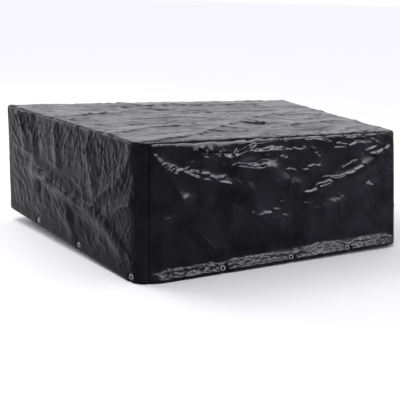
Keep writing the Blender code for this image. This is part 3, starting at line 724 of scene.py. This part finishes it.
# Fields of small creases: the seed of the draw, how many, where, the way they run in degrees and how
# much that varies, their lengths in m, their widths and heights in mm
Field = namedtuple(
    "Field",
    "panel seed count low high angle spread shortest longest narrow wide shallow deep",
)
FIELDS = (
    Field("left", 3, 130, (0.05, 0.52), (1.54, 0.74), 88, 40, 0.05, 0.14, 7, 13, 1.0, 2.9),
    Field("left", 4, 150, (0.05, 0.28), (1.58, 0.70), 80, 60, 0.04, 0.14, 9, 18, 0.7, 2.3),
    Field("left", 8, 80, (1.45, 0.04), (1.64, 0.74), 75, 60, 0.04, 0.14, 6, 11, 1.0, 2.8),
    Field("left", 5, 40, (1.10, 0.10), (1.64, 0.74), 70, 45, 0.06, 0.20, 8, 16, 0.6, 2.0),
    Field("left", 7, 90, (0.02, 0.06), (1.40, 0.40), 140, 40, 0.06, 0.22, 12, 26, 0.8, 2.4),
    Field("front", 11, 60, (0.28, 0.62), (1.92, 0.72), 5, 22, 0.04, 0.10, 6, 10, 0.5, 1.6),
    Field("front", 13, 110, (0.08, 0.10), (1.92, 0.60), 0, 80, 0.04, 0.16, 7, 14, 0.5, 1.5),
    Field("top", 17, 190, (-1.02, -0.78), (1.06, 0.76), 15, 60, 0.10, 0.40, 14, 30, 1.2, 3.8),
    Field("top", 19, 130, (-1.00, -0.80), (1.00, 0.74), 120, 80, 0.05, 0.18, 7, 14, 0.4, 1.2),
    Field("top", 20, 70, (-0.35, -0.76), (0.85, -0.58), 25, 60, 0.04, 0.15, 8, 15, 1.2, 3.6),
    Field("top", 21, 60, (-1.02, -0.60), (-0.86, 0.74), 20, 50, 0.05, 0.16, 8, 16, 1.0, 3.0),
    Field("right", 23, 160, (0.02, 0.08), (1.45, 0.72), 95, 60, 0.06, 0.22, 8, 16, 1.5, 4.0),
    Field("back", 29, 220, (0.02, 0.08), (2.14, 0.72), 95, 60, 0.06, 0.22, 8, 16, 1.5, 4.0),
)
# Largest bend of a small crease, as a share of its half length, and the share that goes inward
FIELD_BEND = 0.3
FIELD_INWARD = 0.35

# Crumple of the whole cloth: wavelength in m across and up, and height in mm
Crumple = namedtuple("Crumple", "panel seed across up height")
CRUMPLES = (
    Crumple("left", 41, 0.14, 0.20, 3.0),
    Crumple("left", 42, 0.05, 0.08, 0.7),
    Crumple("front", 43, 0.17, 0.13, 3.6),
    Crumple("front", 44, 0.07, 0.06, 0.8),
    Crumple("top", 45, 0.26, 0.13, 2.0),
    Crumple("top", 46, 0.10, 0.07, 0.8),
    Crumple("right", 47, 0.12, 0.20, 2.2),
    Crumple("right", 48, 0.05, 0.08, 0.8),
    Crumple("back", 49, 0.12, 0.20, 2.2),
    Crumple("back", 50, 0.05, 0.08, 0.8),
)
# Height of the crease between two lobes as a share, how far the lobes are warped in wavelengths, and
# how many times that varies in one
CRUMPLE_CREST = 0.35
CRUMPLE_WARP = 0.5
WARP_WAVE = 0.7

# Gathered hem: distance along the wall, and the height there of the gathers' upper border
GATHER_TOP = (
    (0.10, 0.060), (0.20, 0.074), (0.34, 0.067), (0.47, 0.076), (0.56, 0.048), (0.64, 0.075),
    (0.88, 0.070), (1.09, 0.046), (1.24, 0.068), (1.29, 0.092), (1.48, 0.074), (1.54, 0.046),
    (1.64, 0.080), (1.80, 0.072), (1.94, 0.058),
)
# How uneven that border is, over what lengths, and the height over which the gathers fade out to it
BORDER_UNEVEN = 0.005
BORDER_WAVES = (0.030, 0.060)
BORDER_FADE = 0.014
# Height of the crinkles in mm, their wavelengths across and up, and the height of the crease between
# two lobes as a share
GATHER_HEIGHT = {"front": 3.9, "right": 2.5, "back": 2.5, "left": 1.6}
GATHER_WAVES = (0.050, 0.0140)
GATHER_CREST = 0.45
# Share of their height that finer ones have, and how much shorter these are across and up
FINE_GATHER = 0.6
FINE_TIMES = (2.1, 0.9)
# How much the crinkles bend, over what lengths
GATHER_BEND = 0.022
BEND_WAVES = (0.11, 0.08)
# How far in mm the front wall's gathers stand out above the bare strip, from nothing at their upper
# border; those of the other walls and their strips are in proportion to their crinkles
GATHER_OUT = 11.0
# Bare strip under the gathers, turned slightly inward: its height, and its depth in mm
HEM_LIP = 0.016
HEM_LIP_DEPTH = 4.0
# Shares of its height at which the crinkles start and over which they grow
LIP_START = 0.6
LIP_FADE = 0.8
BEND_SEED, GATHER_SEED, FINE_SEED, BORDER_SEED = 61, 62, 63, 64
# Upper end of the gathers on the cloth, and how much rougher their fine crinkles make it
GATHER_END = 0.105
HEM_ROUGHER = 0.10

# The noise repeats after this many cells, and the gain makes it reach about 1
NOISE_CELLS = 64
NOISE_GAIN = 1.6


def crease_profile(signed, left, right):
    """1 on the ridge, with an even slope to a soft foot on each side."""
    crest = CREASE_CREST * (left + right)
    away = np.hypot(signed, crest) - crest
    share = 1.0 - away / np.where(signed > 0, left, right)
    return np.clip(0.5 * (share + np.sqrt(share ** 2 + CREASE_FOOT)) - CREASE_CUT, 0.0, None)


def add_crease(relief, points, height, left, right, route):
    """Adds one crease to the relief near it: a wandering ridge with pointed ends and even slopes."""
    reach = CREASE_REACH * max(left, right)
    low = np.min(route, axis=0) - reach
    high = np.max(route, axis=0) + reach
    near = np.all((points > low) & (points < high), axis=-1)
    signed, travelled, length = nearest_on_route(points[near], route)
    row = CREASE_ROW * (route[0][0] + route[0][1]) + CREASE_FIRST_ROW + 0 * travelled
    signed = signed + CREASE_WANDER * gradient_noise(travelled / CREASE_STEP, row, WANDER_SEED)
    uneven = CREASE_HEIGHT + CREASE_UNEVEN * gradient_noise(travelled / CREASE_BREAK, row, BREAK_SEED)
    share = travelled / length
    tips = smoothstep(share / CREASE_TIP) * smoothstep((1.0 - share) / CREASE_TIP)
    scale = (CREASE_END + (1.0 - CREASE_END) * tips) * uneven
    relief[near] += height * scale * crease_profile(signed / scale, left, right)


def add_field(relief, points, field):
    """Adds the small creases of a field, each slightly bent."""
    draw = np.random.default_rng(field.seed)
    low, high = np.array(field.low), np.array(field.high)
    for _ in range(field.count):
        middle = draw.uniform(low, high)
        angle = math.radians(field.angle + field.spread * draw.uniform(-1, 1))
        length = draw.uniform(field.shortest, field.longest)
        ahead = np.array([math.cos(angle), math.sin(angle)]) * length / 2
        bend = np.array([-ahead[1], ahead[0]]) * draw.uniform(-FIELD_BEND, FIELD_BEND)
        left, right = draw.uniform(field.narrow, field.wide, 2) * MM
        height = draw.uniform(field.shallow, field.deep) * MM
        height *= draw.choice((-1.0, 1.0), p=(FIELD_INWARD, 1 - FIELD_INWARD))
        add_crease(relief, points, height, left, right, (middle - ahead, middle + bend, middle + ahead))


def gradient_noise(x, y, seed):
    """Smooth noise from about -1 to 1 with a wavelength of about 1."""
    draw = np.random.default_rng(seed)
    turn = draw.uniform(0, 2 * math.pi, (NOISE_CELLS, NOISE_CELLS))
    column, row = np.floor(x).astype(int), np.floor(y).astype(int)
    x, y = x - column, y - row
    total = 0
    for step_x in (0, 1):
        for step_y in (0, 1):
            angle = turn[(column + step_x) % NOISE_CELLS, (row + step_y) % NOISE_CELLS]
            slope = np.cos(angle) * (x - step_x) + np.sin(angle) * (y - step_y)
            weight_x = smoothstep(1 - np.abs(x - step_x))
            weight_y = smoothstep(1 - np.abs(y - step_y))
            total = total + slope * weight_x * weight_y
    return total * NOISE_GAIN


def crumple_relief(points, crumple):
    """Flat lobes that meet in sharp creases: the folded value of a warped noise."""
    x, y = points[..., 0] / crumple.across, points[..., 1] / crumple.up
    x = x + CRUMPLE_WARP * gradient_noise(x * WARP_WAVE, y * WARP_WAVE, crumple.seed + 100)
    y = y + CRUMPLE_WARP * gradient_noise(x * WARP_WAVE, y * WARP_WAVE, crumple.seed + 200)
    return (CRUMPLE_CREST - np.abs(gradient_noise(x, y, crumple.seed))) * crumple.height * MM


def small_relief(panel, points):
    """All creases of a panel except those of its hem."""
    relief = np.zeros(points.shape[:-1])
    for height, left, right, *route in CREASES[panel]:
        add_crease(relief, points, height * MM, left * MM, right * MM, np.array(route) * MM)
    for field in FIELDS:
        if field.panel == panel:
            add_field(relief, points, field)
    for crumple in CRUMPLES:
        if crumple.panel == panel:
            relief += crumple_relief(points, crumple)
    return relief


def gather_relief(panel, points):
    """Crinkles of the gathered hem, and the bare strip under them."""
    x, y = points[..., 0], points[..., 1]
    uneven = gradient_noise(x / BORDER_WAVES[0], y / BORDER_WAVES[1], BORDER_SEED)
    top = soft_curve(x, GATHER_TOP) + BORDER_UNEVEN * uneven
    inside = smoothstep((top - y) / BORDER_FADE)
    above_lip = smoothstep((y - LIP_START * HEM_LIP) / (LIP_FADE * HEM_LIP))
    bend = GATHER_BEND * gradient_noise(x / BEND_WAVES[0], y / BEND_WAVES[1], BEND_SEED)
    across, up = x / GATHER_WAVES[0], (y + bend) / GATHER_WAVES[1]
    fine = gradient_noise(FINE_TIMES[0] * across, FINE_TIMES[1] * up, FINE_SEED)
    wave = GATHER_CREST - np.abs(gradient_noise(across, up, GATHER_SEED)) + FINE_GATHER * fine
    lip = smoothstep(1.0 - y / HEM_LIP) * HEM_LIP_DEPTH / GATHER_HEIGHT["front"]
    out = np.clip((top - y) / (top - HEM_LIP), 0.0, 1.0) * GATHER_OUT / GATHER_HEIGHT["front"]
    return (wave * inside * above_lip + out - lip) * GATHER_HEIGHT[panel] * MM


def turned_relief(name, grid):
    """The wall's creases where they run on over the turned edge of the top, near that wall."""
    first, last, side, inward = wall_frame(name)
    length = np.linalg.norm((last - first)[:2])
    distance = (grid - first) @ side
    from_wall = (grid - first)[..., :2] @ inward
    depth = first[2] + (last[2] - first[2]) * distance / length - grid[..., 2]
    start, end = seam_distances(name, 0.0)
    weight = smoothstep(depth / TURNED_BLEND) * smoothstep(2.0 - from_wall / TURNED_REACH)
    weight *= smoothstep((distance - start) / SEAM_FADE) * smoothstep((length - end - distance) / SEAM_FADE)
    near = weight > 0
    relief = np.zeros(grid.shape[:-1])
    height = wall_drop(name, distance / length) - depth
    relief[near] = small_relief(name, np.stack([distance, height], axis=-1)[near])
    return relief * weight


def rim_shift(grid, fall, rim):
    """Soft crumple of the turned edge, the same on the wall and on the top."""
    across = (grid[..., 0] + RIM_SLANT * grid[..., 2]) / RIM_WAVE
    deep = (grid[..., 1] - RIM_SLANT * grid[..., 2]) / RIM_WAVE
    shift = np.stack([gradient_noise(across, deep, seed) for seed in RIM_SEEDS], axis=-1)
    weight = smoothstep(1.0 - fall / RIM_REACH_DOWN) * smoothstep(1.0 - rim / RIM_REACH_IN)
    return shift * (RIM_CRUMPLE * weight)[..., None]


# ---------------- meshes

# Cell sizes along each wall, and down it as far as a given depth
ALONG_CELL = {"front": 0.0078, "right": 0.0090, "back": 0.0090, "left": 0.0046}
DOWN_CELLS = {
    "front": ((0.40, 0.0038), (0.64, 0.0066), (0.75, 0.0036)),
    "right": ((0.75, 0.0078),),
    "back": ((0.75, 0.0078),),
    "left": ((0.75, 0.0068),),
}
TOP_CELL = 0.0088
# Finer cells at a wall's seams and its upper edge, and at the top's rim
FIRST_CELLS = (0.0016, 0.0022, 0.0032, 0.0046)
EDGE_CELLS = (0.0004, 0.0008, 0.0012, 0.0016, 0.0022, 0.0030, 0.0042, 0.0060)
# Rows of the top at the front that belong to the edge turned over the front wall
TURNED_ROWS = 10
# Distance in m on the cloth between the top's place and the walls' places
TOP_PLACE = 4.0
# Depth over which a wall's creases set in on the turned edge, and how far inward they stay whole
TURNED_BLEND = 0.014
TURNED_REACH = 0.030
# Soft crumple of the turned edge: its wavelength, slant and height, and its reach down and inward
RIM_WAVE = 0.075
RIM_SLANT = 0.8
RIM_CRUMPLE = 0.0035
RIM_REACH_DOWN = 0.11
RIM_REACH_IN = 0.07
RIM_SEEDS = (81, 82, 83)
# Groove of a corner seam: its depth in mm and its width, and how far from it the creases fade in
SEAM_GROOVE = 6.0
SEAM_GROOVE_WIDTH = 0.0040
SEAM_FADE = 0.016
# Share of the creases that shows on the hem, up to this height, and the height over which they grow
HEM_SHARE = 0.25
HEM_FADE_START = 0.02
HEM_FADE = 0.05
# How far from a seam the gathers fade in
GATHER_FADE = 0.05
# Step of the hem's stitches in mm, its height over the hem's edge, its width and its fade at a seam
HEM_STEP = 0.9
STITCH_UP = 0.052
STITCH_WIDTH = 0.004
STITCH_FADE = 0.01
# Cloth this near to an eyelet's plane is pressed flat, as far as EYELET_FLAT and this much more,
# fading out over the last of these lengths
FLAT_DEPTH = 0.06
FLAT_SPARE = 0.008
FLAT_FADE = 0.014
# Points this near to an eyelet's axis may be drawn to its hole
HOLE_REACH = 3 * EYELET_HOLE
# Dome of an eyelet: its foot's height over the cloth, its own height and its roundness
DOME_FOOT = 0.0004
DOME_HEIGHT = 0.0021
DOME_POWER = 0.8
DOME_STEPS = 8
EYELET_STEPS = 40
# Edges of an eyelet sharper than this many degrees are shaded sharp
SHARP_EDGE = 45
# Section of an eyelet from its bore round its back flange to its barrel: radius and height
EYELET_BACK = (
    (EYELET_BORE, -0.0030),
    (EYELET_BORE + 0.0006, -0.0034),
    (EYELET_BACK_FLANGE - 0.0004, -0.0036),
    (EYELET_BACK_FLANGE, -0.0028),
    (EYELET_BARREL, -0.0026),
    (EYELET_BARREL, 0.0002),
)


def spaced(length, cell, first_cells):
    """Shares from 0 to 1 with fine cells at both ends."""
    ends = np.cumsum((0.0, *first_cells)) / length
    inner = np.linspace(ends[-1], 1 - ends[-1], round(length / cell))
    return np.concatenate([ends[:-1], inner, 1 - ends[-2::-1]])


def graded(cells):
    """Shares from 0 to 1 with fine cells at the start, then in cells of the sizes asked for."""
    edges = list(np.cumsum((0.0, *FIRST_CELLS)))
    for until, cell in cells:
        edges.extend(np.linspace(edges[-1], until, round((until - edges[-1]) / cell) + 1)[1:])
    return np.array(edges) / edges[-1]


def grid_normals(grid):
    """Outward normals of a grid's points."""
    rows = np.gradient(grid, axis=0)
    columns = np.gradient(grid, axis=1)
    return unit(np.cross(rows, columns))


def from_eyelet(points, plane):
    """How far points lie off an eyelet's plane, and their way in that plane from its centre."""
    away = points - plane.centre
    off = away @ plane.normal
    return off, away - off[..., None] * plane.normal


def hole_distance(grid, planes):
    """Distance of each point from the nearest eyelet's axis."""
    return np.min([np.linalg.norm(from_eyelet(grid, plane)[1], axis=-1) for plane in planes], axis=0)


def flatten_at_eyelets(grid, planes):
    """Presses the cloth flat under each eyelet."""
    for plane in planes:
        off, across = from_eyelet(grid, plane)
        distance = np.linalg.norm(across, axis=-1)
        share = smoothstep((EYELET_FLAT + FLAT_SPARE - distance) / FLAT_FADE) * (np.abs(off) < FLAT_DEPTH)
        grid = grid - (share * off)[..., None] * plane.normal
    return grid


def cut_holes(grid, quads, planes):
    """Leaves out the cells over the eyelets' bores and draws the cells around them to a circle."""
    reach = hole_distance(grid, planes).ravel()
    quads = quads[~(reach[quads] < EYELET_HOLE).any(axis=1)]
    uses = np.bincount(quads.ravel(), minlength=len(reach))
    points = grid.reshape(-1, 3).copy()
    for index in np.flatnonzero((uses < 4) & (uses > 0) & (reach < HOLE_REACH)):
        for plane in planes:
            off, across = from_eyelet(points[index], plane)
            if np.linalg.norm(across) < HOLE_REACH:
                points[index] = plane.centre + off * plane.normal + unit(across) * EYELET_HOLE
    return points.reshape(grid.shape), quads


def sheet_object(name, patches):
    """Mesh of one or more grids, with a UV map in metres and the eyelets' holes left out."""
    points, faces, places = [], [], []
    for grid, uv, planes in patches:
        rows, columns = grid.shape[:2]
        number = np.arange(rows * columns).reshape(rows, columns)
        quads = np.stack([number[:-1, :-1], number[1:, :-1], number[1:, 1:], number[:-1, 1:]], axis=-1)
        quads = quads.reshape(-1, 4)
        if planes:
            grid, quads = cut_holes(grid, quads, planes)
        used, quads = np.unique(quads, return_inverse=True)
        quads = quads.reshape(-1, 4)
        places.append(uv.reshape(-1, 2)[used][quads.ravel()])
        faces.append(quads + sum(len(part) for part in points))
        points.append(grid.reshape(-1, 3)[used])
    mesh = bpy.data.meshes.new(name)
    mesh.from_pydata(np.concatenate(points).tolist(), [], np.concatenate(faces).tolist())
    layer = mesh.uv_layers.new(name="cloth")
    layer.data.foreach_set("uv", np.concatenate(places).ravel())
    mesh.shade_smooth()
    thing = add_object(name, mesh)
    thickness = thing.modifiers.new("cloth", "SOLIDIFY")
    thickness.thickness = SHEET
    thickness.offset = -1.0
    return thing


def seam_relief(distance):
    """Groove of a seam."""
    return -SEAM_GROOVE * MM * np.exp(-((distance / SEAM_GROOVE_WIDTH) ** 2))


# A wall's points with all its creases, their places on the cloth, the shares along the wall of its
# columns, its length and the planes of its eyelets
WallGrid = namedtuple("WallGrid", "grid cloth along length planes")


def wall_grid(name):
    """A wall with all its creases."""
    first, last = wall_ends(name, 0.0)
    length = np.linalg.norm((last - first)[:2])
    along = spaced(length, ALONG_CELL[name], FIRST_CELLS)
    rows = [wall_surface(name, along, share + 0 * along) for share in graded(DOWN_CELLS[name])]
    grid, distance, height = (np.array(part) for part in zip(*rows))
    points = np.stack([distance, height], axis=-1)
    from_side = np.minimum(along, 1 - along)[None] * length
    above_hem = HEM_SHARE + (1.0 - HEM_SHARE) * smoothstep((height - HEM_FADE_START) / HEM_FADE)
    relief = small_relief(name, points) * smoothstep(from_side / SEAM_FADE) * above_hem
    relief += gather_relief(name, points) * smoothstep(from_side / GATHER_FADE)
    relief += seam_relief(from_side)
    step = HEM_STEP * MM * smoothstep((STITCH_UP + STITCH_WIDTH - height) / STITCH_WIDTH)
    relief += step * smoothstep(from_side / STITCH_FADE)
    fall = wall_drop(name, along)[None] - height
    grid = grid + grid_normals(grid) * relief[..., None] + rim_shift(grid, fall, 0.0)
    planes = [eyelet_plane(name, share) for share in eyelet_shares(name)]
    return WallGrid(flatten_at_eyelets(grid, planes), points, along, length, planes)


def wall_object(name, made, turned):
    """A wall, with the turned edge of the top where it hangs over this wall."""
    thing = sheet_object(f"cover_{name}", [(made.grid, made.cloth, made.planes), *turned])
    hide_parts(f"wall_{name}", f"hem_{name}")
    return thing


def wall_edge(made, shares):
    """Upper edge of a finished wall at the shares asked for."""
    return np.stack([np.interp(shares, made.along, made.grid[0, :, axis]) for axis in range(3)], axis=-1)


def top_grid(walls):
    """Top with all its creases, from the points of the finished walls' upper edges."""
    u = spaced(LENGTH, TOP_CELL, EDGE_CELLS)
    v = spaced(WIDTH, TOP_CELL, EDGE_CELLS)
    grid, rim, fall = top_surface(u, v)
    relief = small_relief("top", grid[..., :2]) * smoothstep(rim / SEAM_FADE)
    for name in WALLS:
        relief += turned_relief(name, grid)
    grid = grid + grid_normals(grid) * relief[..., None] + rim_shift(grid, fall, rim)
    grid[:, 0] = wall_edge(walls["front"], u)
    grid[-1] = wall_edge(walls["right"], v)
    grid[:, -1] = wall_edge(walls["back"], 1 - u)
    grid[0] = wall_edge(walls["left"], 1 - v)
    return grid


def top_patch(grid):
    """Part of the top for a sheet, its place on the cloth clear of the walls' places."""
    return grid, grid[..., :2] + (0.0, TOP_PLACE), ()


def top_object(grid):
    """The top, without the edge turned over the front wall."""
    thing = sheet_object("cover_top", [top_patch(grid)])
    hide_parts("top_panel")
    return thing


def dome(share):
    """Point on an eyelet's dome as radius and height, from its flange (0) to its bore (1)."""
    angle = math.pi * share
    middle, half = (EYELET_FLANGE + EYELET_BORE) / 2, (EYELET_FLANGE - EYELET_BORE) / 2
    return middle + half * math.cos(angle), DOME_FOOT + DOME_HEIGHT * math.sin(angle) ** DOME_POWER


def eyelet_object(name, plane, finish):
    """Domed eyelet with a rolled lip into its bore."""
    profile = [dome(step / DOME_STEPS) for step in range(DOME_STEPS + 1)]
    profile += EYELET_BACK
    form = bmesh.new()
    rings = []
    for step in range(EYELET_STEPS):
        angle = 2 * math.pi * step / EYELET_STEPS
        rings.append([form.verts.new((r * math.cos(angle), r * math.sin(angle), z)) for r, z in profile])
    for ring, following in zip(rings, rings[1:] + rings[:1]):
        for corner in range(len(profile)):
            after = (corner + 1) % len(profile)
            form.faces.new((ring[corner], ring[after], following[after], following[corner]))
    bmesh.ops.recalc_face_normals(form, faces=form.faces)
    mesh = bpy.data.meshes.new(name)
    form.to_mesh(mesh)
    form.free()
    mesh.shade_smooth()
    mesh.set_sharp_from_angle(angle=math.radians(SHARP_EDGE))
    thing = add_object(f"{name}_ring", mesh)
    across = unit(np.cross(plane.up, plane.normal))
    mesh.transform(place_matrix((across, plane.up, plane.normal), plane.centre))
    mesh.materials.append(finish)
    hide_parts(name)
    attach(thing, "root")
    return thing


# ---------------- materials

# The cloth's colour and roughness vary in clouds: the range of the noise, and what it is turned into
CLOUD_SCALE = 7.0
COLOUR_NOISE = (0.32, 0.68)
BLACK_LOW = (0.0002, 0.0002, 0.0004, 1.0)
BLACK_HIGH = (0.0036, 0.0033, 0.0050, 1.0)
ROUGH_NOISE = (0.38, 0.62)
ROUGHNESS = (0.15, 0.23)
CRINKLE_SCALE = 38.0
WEAVE_SCALE = 52.0
METAL_COLOUR = (0.24, 0.245, 0.25, 1.0)
METAL_SCALE = 600.0
METAL_NOISE = (0.3, 0.7)
METAL_ROUGHNESS = (0.22, 0.36)
FLOOR_COLOUR = (0.93, 0.93, 0.93, 1.0)


def new_material(name):
    """A material with its node tree and its shader."""
    finish = bpy.data.materials.new(name)
    finish.use_nodes = True
    tree = finish.node_tree
    return finish, tree, tree.nodes["Principled BSDF"]


def node(tree, kind, **values):
    """A new node with the values of its sockets and settings."""
    item = tree.nodes.new(kind)
    for key, value in values.items():
        if key in item.inputs:
            item.inputs[key].default_value = value
        else:
            setattr(item, key, value)
    return item


def ramp(tree, low, high, start, end):
    """A new node that goes from start to end as its value goes from low to high."""
    limits = {"From Min": low, "From Max": high, "To Min": start, "To Max": end}
    return node(tree, "ShaderNodeMapRange", **limits)


def tarpaulin_material():
    """Black coated cloth: uneven sheen, rougher at the hem, fine crinkle and the weave below."""
    finish, tree, shader = new_material("tarpaulin")
    link = tree.links.new
    place = node(tree, "ShaderNodeTexCoord")
    cloudy = node(tree, "ShaderNodeTexNoise", Scale=CLOUD_SCALE, Detail=5.0)
    link(place.outputs["Object"], cloudy.inputs["Vector"])
    tint = node(tree, "ShaderNodeMix", data_type="RGBA")
    tint.inputs[6].default_value = BLACK_LOW
    tint.inputs[7].default_value = BLACK_HIGH
    patches = ramp(tree, *COLOUR_NOISE, 0.0, 1.0)
    link(cloudy.outputs["Fac"], patches.inputs["Value"])
    link(patches.outputs["Result"], tint.inputs[0])
    link(tint.outputs[2], shader.inputs["Base Color"])
    rough = ramp(tree, *ROUGH_NOISE, *ROUGHNESS)
    link(cloudy.outputs["Fac"], rough.inputs["Value"])
    on_cloth = node(tree, "ShaderNodeSeparateXYZ")
    link(place.outputs["UV"], on_cloth.inputs["Vector"])
    hem = ramp(tree, HEM_HEIGHT, GATHER_END, HEM_ROUGHER, 0.0)
    link(on_cloth.outputs["Y"], hem.inputs["Value"])
    roughness = node(tree, "ShaderNodeMath", operation="ADD")
    link(rough.outputs["Result"], roughness.inputs[0])
    link(hem.outputs["Result"], roughness.inputs[1])
    link(roughness.outputs["Value"], shader.inputs["Roughness"])
    shader.inputs["IOR"].default_value = 1.185
    shader.inputs["Specular Tint"].default_value = (0.93, 0.90, 1.0, 1.0)
    crinkle = node(tree, "ShaderNodeTexNoise", Scale=CRINKLE_SCALE, Detail=3.0, Roughness=0.55)
    crinkle.noise_type = "RIDGED_MULTIFRACTAL"
    link(place.outputs["Object"], crinkle.inputs["Vector"])
    bump = node(tree, "ShaderNodeBump", Strength=0.35, Distance=0.0012)
    link(crinkle.outputs["Fac"], bump.inputs["Height"])
    weave = node(tree, "ShaderNodeMath", operation="MAXIMUM")
    for socket, direction in enumerate("XY"):
        wave = node(tree, "ShaderNodeTexWave", Scale=WEAVE_SCALE, bands_direction=direction)
        link(place.outputs["UV"], wave.inputs["Vector"])
        link(wave.outputs["Fac"], weave.inputs[socket])
    fine = node(tree, "ShaderNodeBump", Strength=0.10, Distance=0.0003)
    link(weave.outputs["Value"], fine.inputs["Height"])
    link(bump.outputs["Normal"], fine.inputs["Normal"])
    link(fine.outputs["Normal"], shader.inputs["Normal"])
    return finish


def metal_material():
    """Bright metal with a slightly uneven polish."""
    finish, tree, shader = new_material("eyelet_metal")
    link = tree.links.new
    place = node(tree, "ShaderNodeTexCoord")
    specks = node(tree, "ShaderNodeTexNoise", Scale=METAL_SCALE, Detail=3.0)
    link(place.outputs["Object"], specks.inputs["Vector"])
    shader.inputs["Base Color"].default_value = METAL_COLOUR
    shader.inputs["Metallic"].default_value = 1.0
    rough = ramp(tree, *METAL_NOISE, *METAL_ROUGHNESS)
    link(specks.outputs["Fac"], rough.inputs["Value"])
    link(rough.outputs["Result"], shader.inputs["Roughness"])
    return finish


# ---------------- stage and light

# Half the side of the floor
FLOOR_SIZE = 40.0


def add_stage(lowest):
    """Pale floor under the hem."""
    form = bmesh.new()
    bmesh.ops.create_grid(form, x_segments=1, y_segments=1, size=FLOOR_SIZE)
    mesh = bpy.data.meshes.new("floor")
    form.to_mesh(mesh)
    form.free()
    floor = add_object("floor", mesh)
    floor.location.z = lowest
    finish, _, shader = new_material("floor")
    shader.inputs["Base Color"].default_value = FLOOR_COLOUR
    shader.inputs["Roughness"].default_value = 0.9
    shader.inputs["Specular IOR Level"].default_value = 0.1
    mesh.materials.append(finish)


# A studio light, its spread in degrees and the pieces that its flags leave in its light, or none for
# all: the flags keep it from glaring on the top, or on the walls, where it is seen from another side
Softbox = namedtuple("Softbox", "name place size power spread lit")
SOFTBOXES = (
    Softbox("key", (3.4, -5.0, 2.50), (3.2, 1.1), 100.0, 80.0, ("cover_front", "cover_left")),
    Softbox("low", (4.0, -5.1, 1.35), (4.6, 1.3), 355.0, 180.0, ("cover_front", "cover_left")),
    Softbox("flank", (-4.4, 5.0, 0.50), (2.6, 1.2), 20.0, 180.0, ("cover_front", "cover_left")),
    Softbox("rear", (2.7, 4.9, 2.10), (3.6, 1.4), 5.0, 180.0, ("cover_top",)),
    Softbox("side", (-3.6, 5.2, 2.2), (3.2, 1.8), 90.0, 180.0, ()),
    Softbox("over", (-2.4, 2.6, 4.6), (3.0, 2.0), 100.0, 180.0, ()),
)
# Point in the cover that all of them face
LIGHT_AIM = (0.0, 0.0, -0.3)
WORLD_COLOUR = (0.96, 0.95, 1.0, 1.0)
WORLD_STRENGTH = 1.05


def add_softbox(softbox, pieces):
    """Area light that faces the middle of the cover."""
    data = bpy.data.lights.new(softbox.name, "AREA")
    data.shape = "RECTANGLE"
    data.size, data.size_y = softbox.size
    data.energy = softbox.power
    data.spread = math.radians(softbox.spread)
    light = add_object(softbox.name, data)
    light.location = softbox.place
    aim = Vector(LIGHT_AIM) - light.location
    light.rotation_euler = aim.to_track_quat("-Z", "Y").to_euler()
    light.visible_camera = False
    if softbox.lit:
        lit = bpy.data.collections.new(f"lit_by_{softbox.name}")
        for piece in pieces:
            if piece.name in softbox.lit:
                lit.objects.link(piece)
        light.light_linking.receiver_collection = lit


def add_light(pieces):
    """Softboxes and a pale, even world."""
    world = bpy.data.worlds.new("studio")
    bpy.context.scene.world = world
    world.use_nodes = True
    background = world.node_tree.nodes["Background"]
    background.inputs["Color"].default_value = WORLD_COLOUR
    background.inputs["Strength"].default_value = WORLD_STRENGTH
    bpy.context.scene.view_settings.view_transform = "Standard"
    for softbox in SOFTBOXES:
        add_softbox(softbox, pieces)


# ---------------- the scene

def main():
    add_camera()
    cloth = tarpaulin_material()
    metal = metal_material()
    walls = {name: wall_grid(name) for name in WALLS}
    top = top_grid(walls)
    turned = top[:, :TURNED_ROWS + 1]
    pieces = [top_object(top[:, TURNED_ROWS:])]
    for name, made in walls.items():
        pieces.append(wall_object(name, made, [top_patch(turned)] if name == "front" else []))
        for count, plane in enumerate(made.planes, start=1):
            eyelet_object(f"eyelet_{name}_{count}", plane, metal)
    for piece in pieces:
        piece.data.materials.append(cloth)
        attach(piece, "root")
    add_light(pieces)
    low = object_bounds()[0][2]
    add_stage(low)


main()
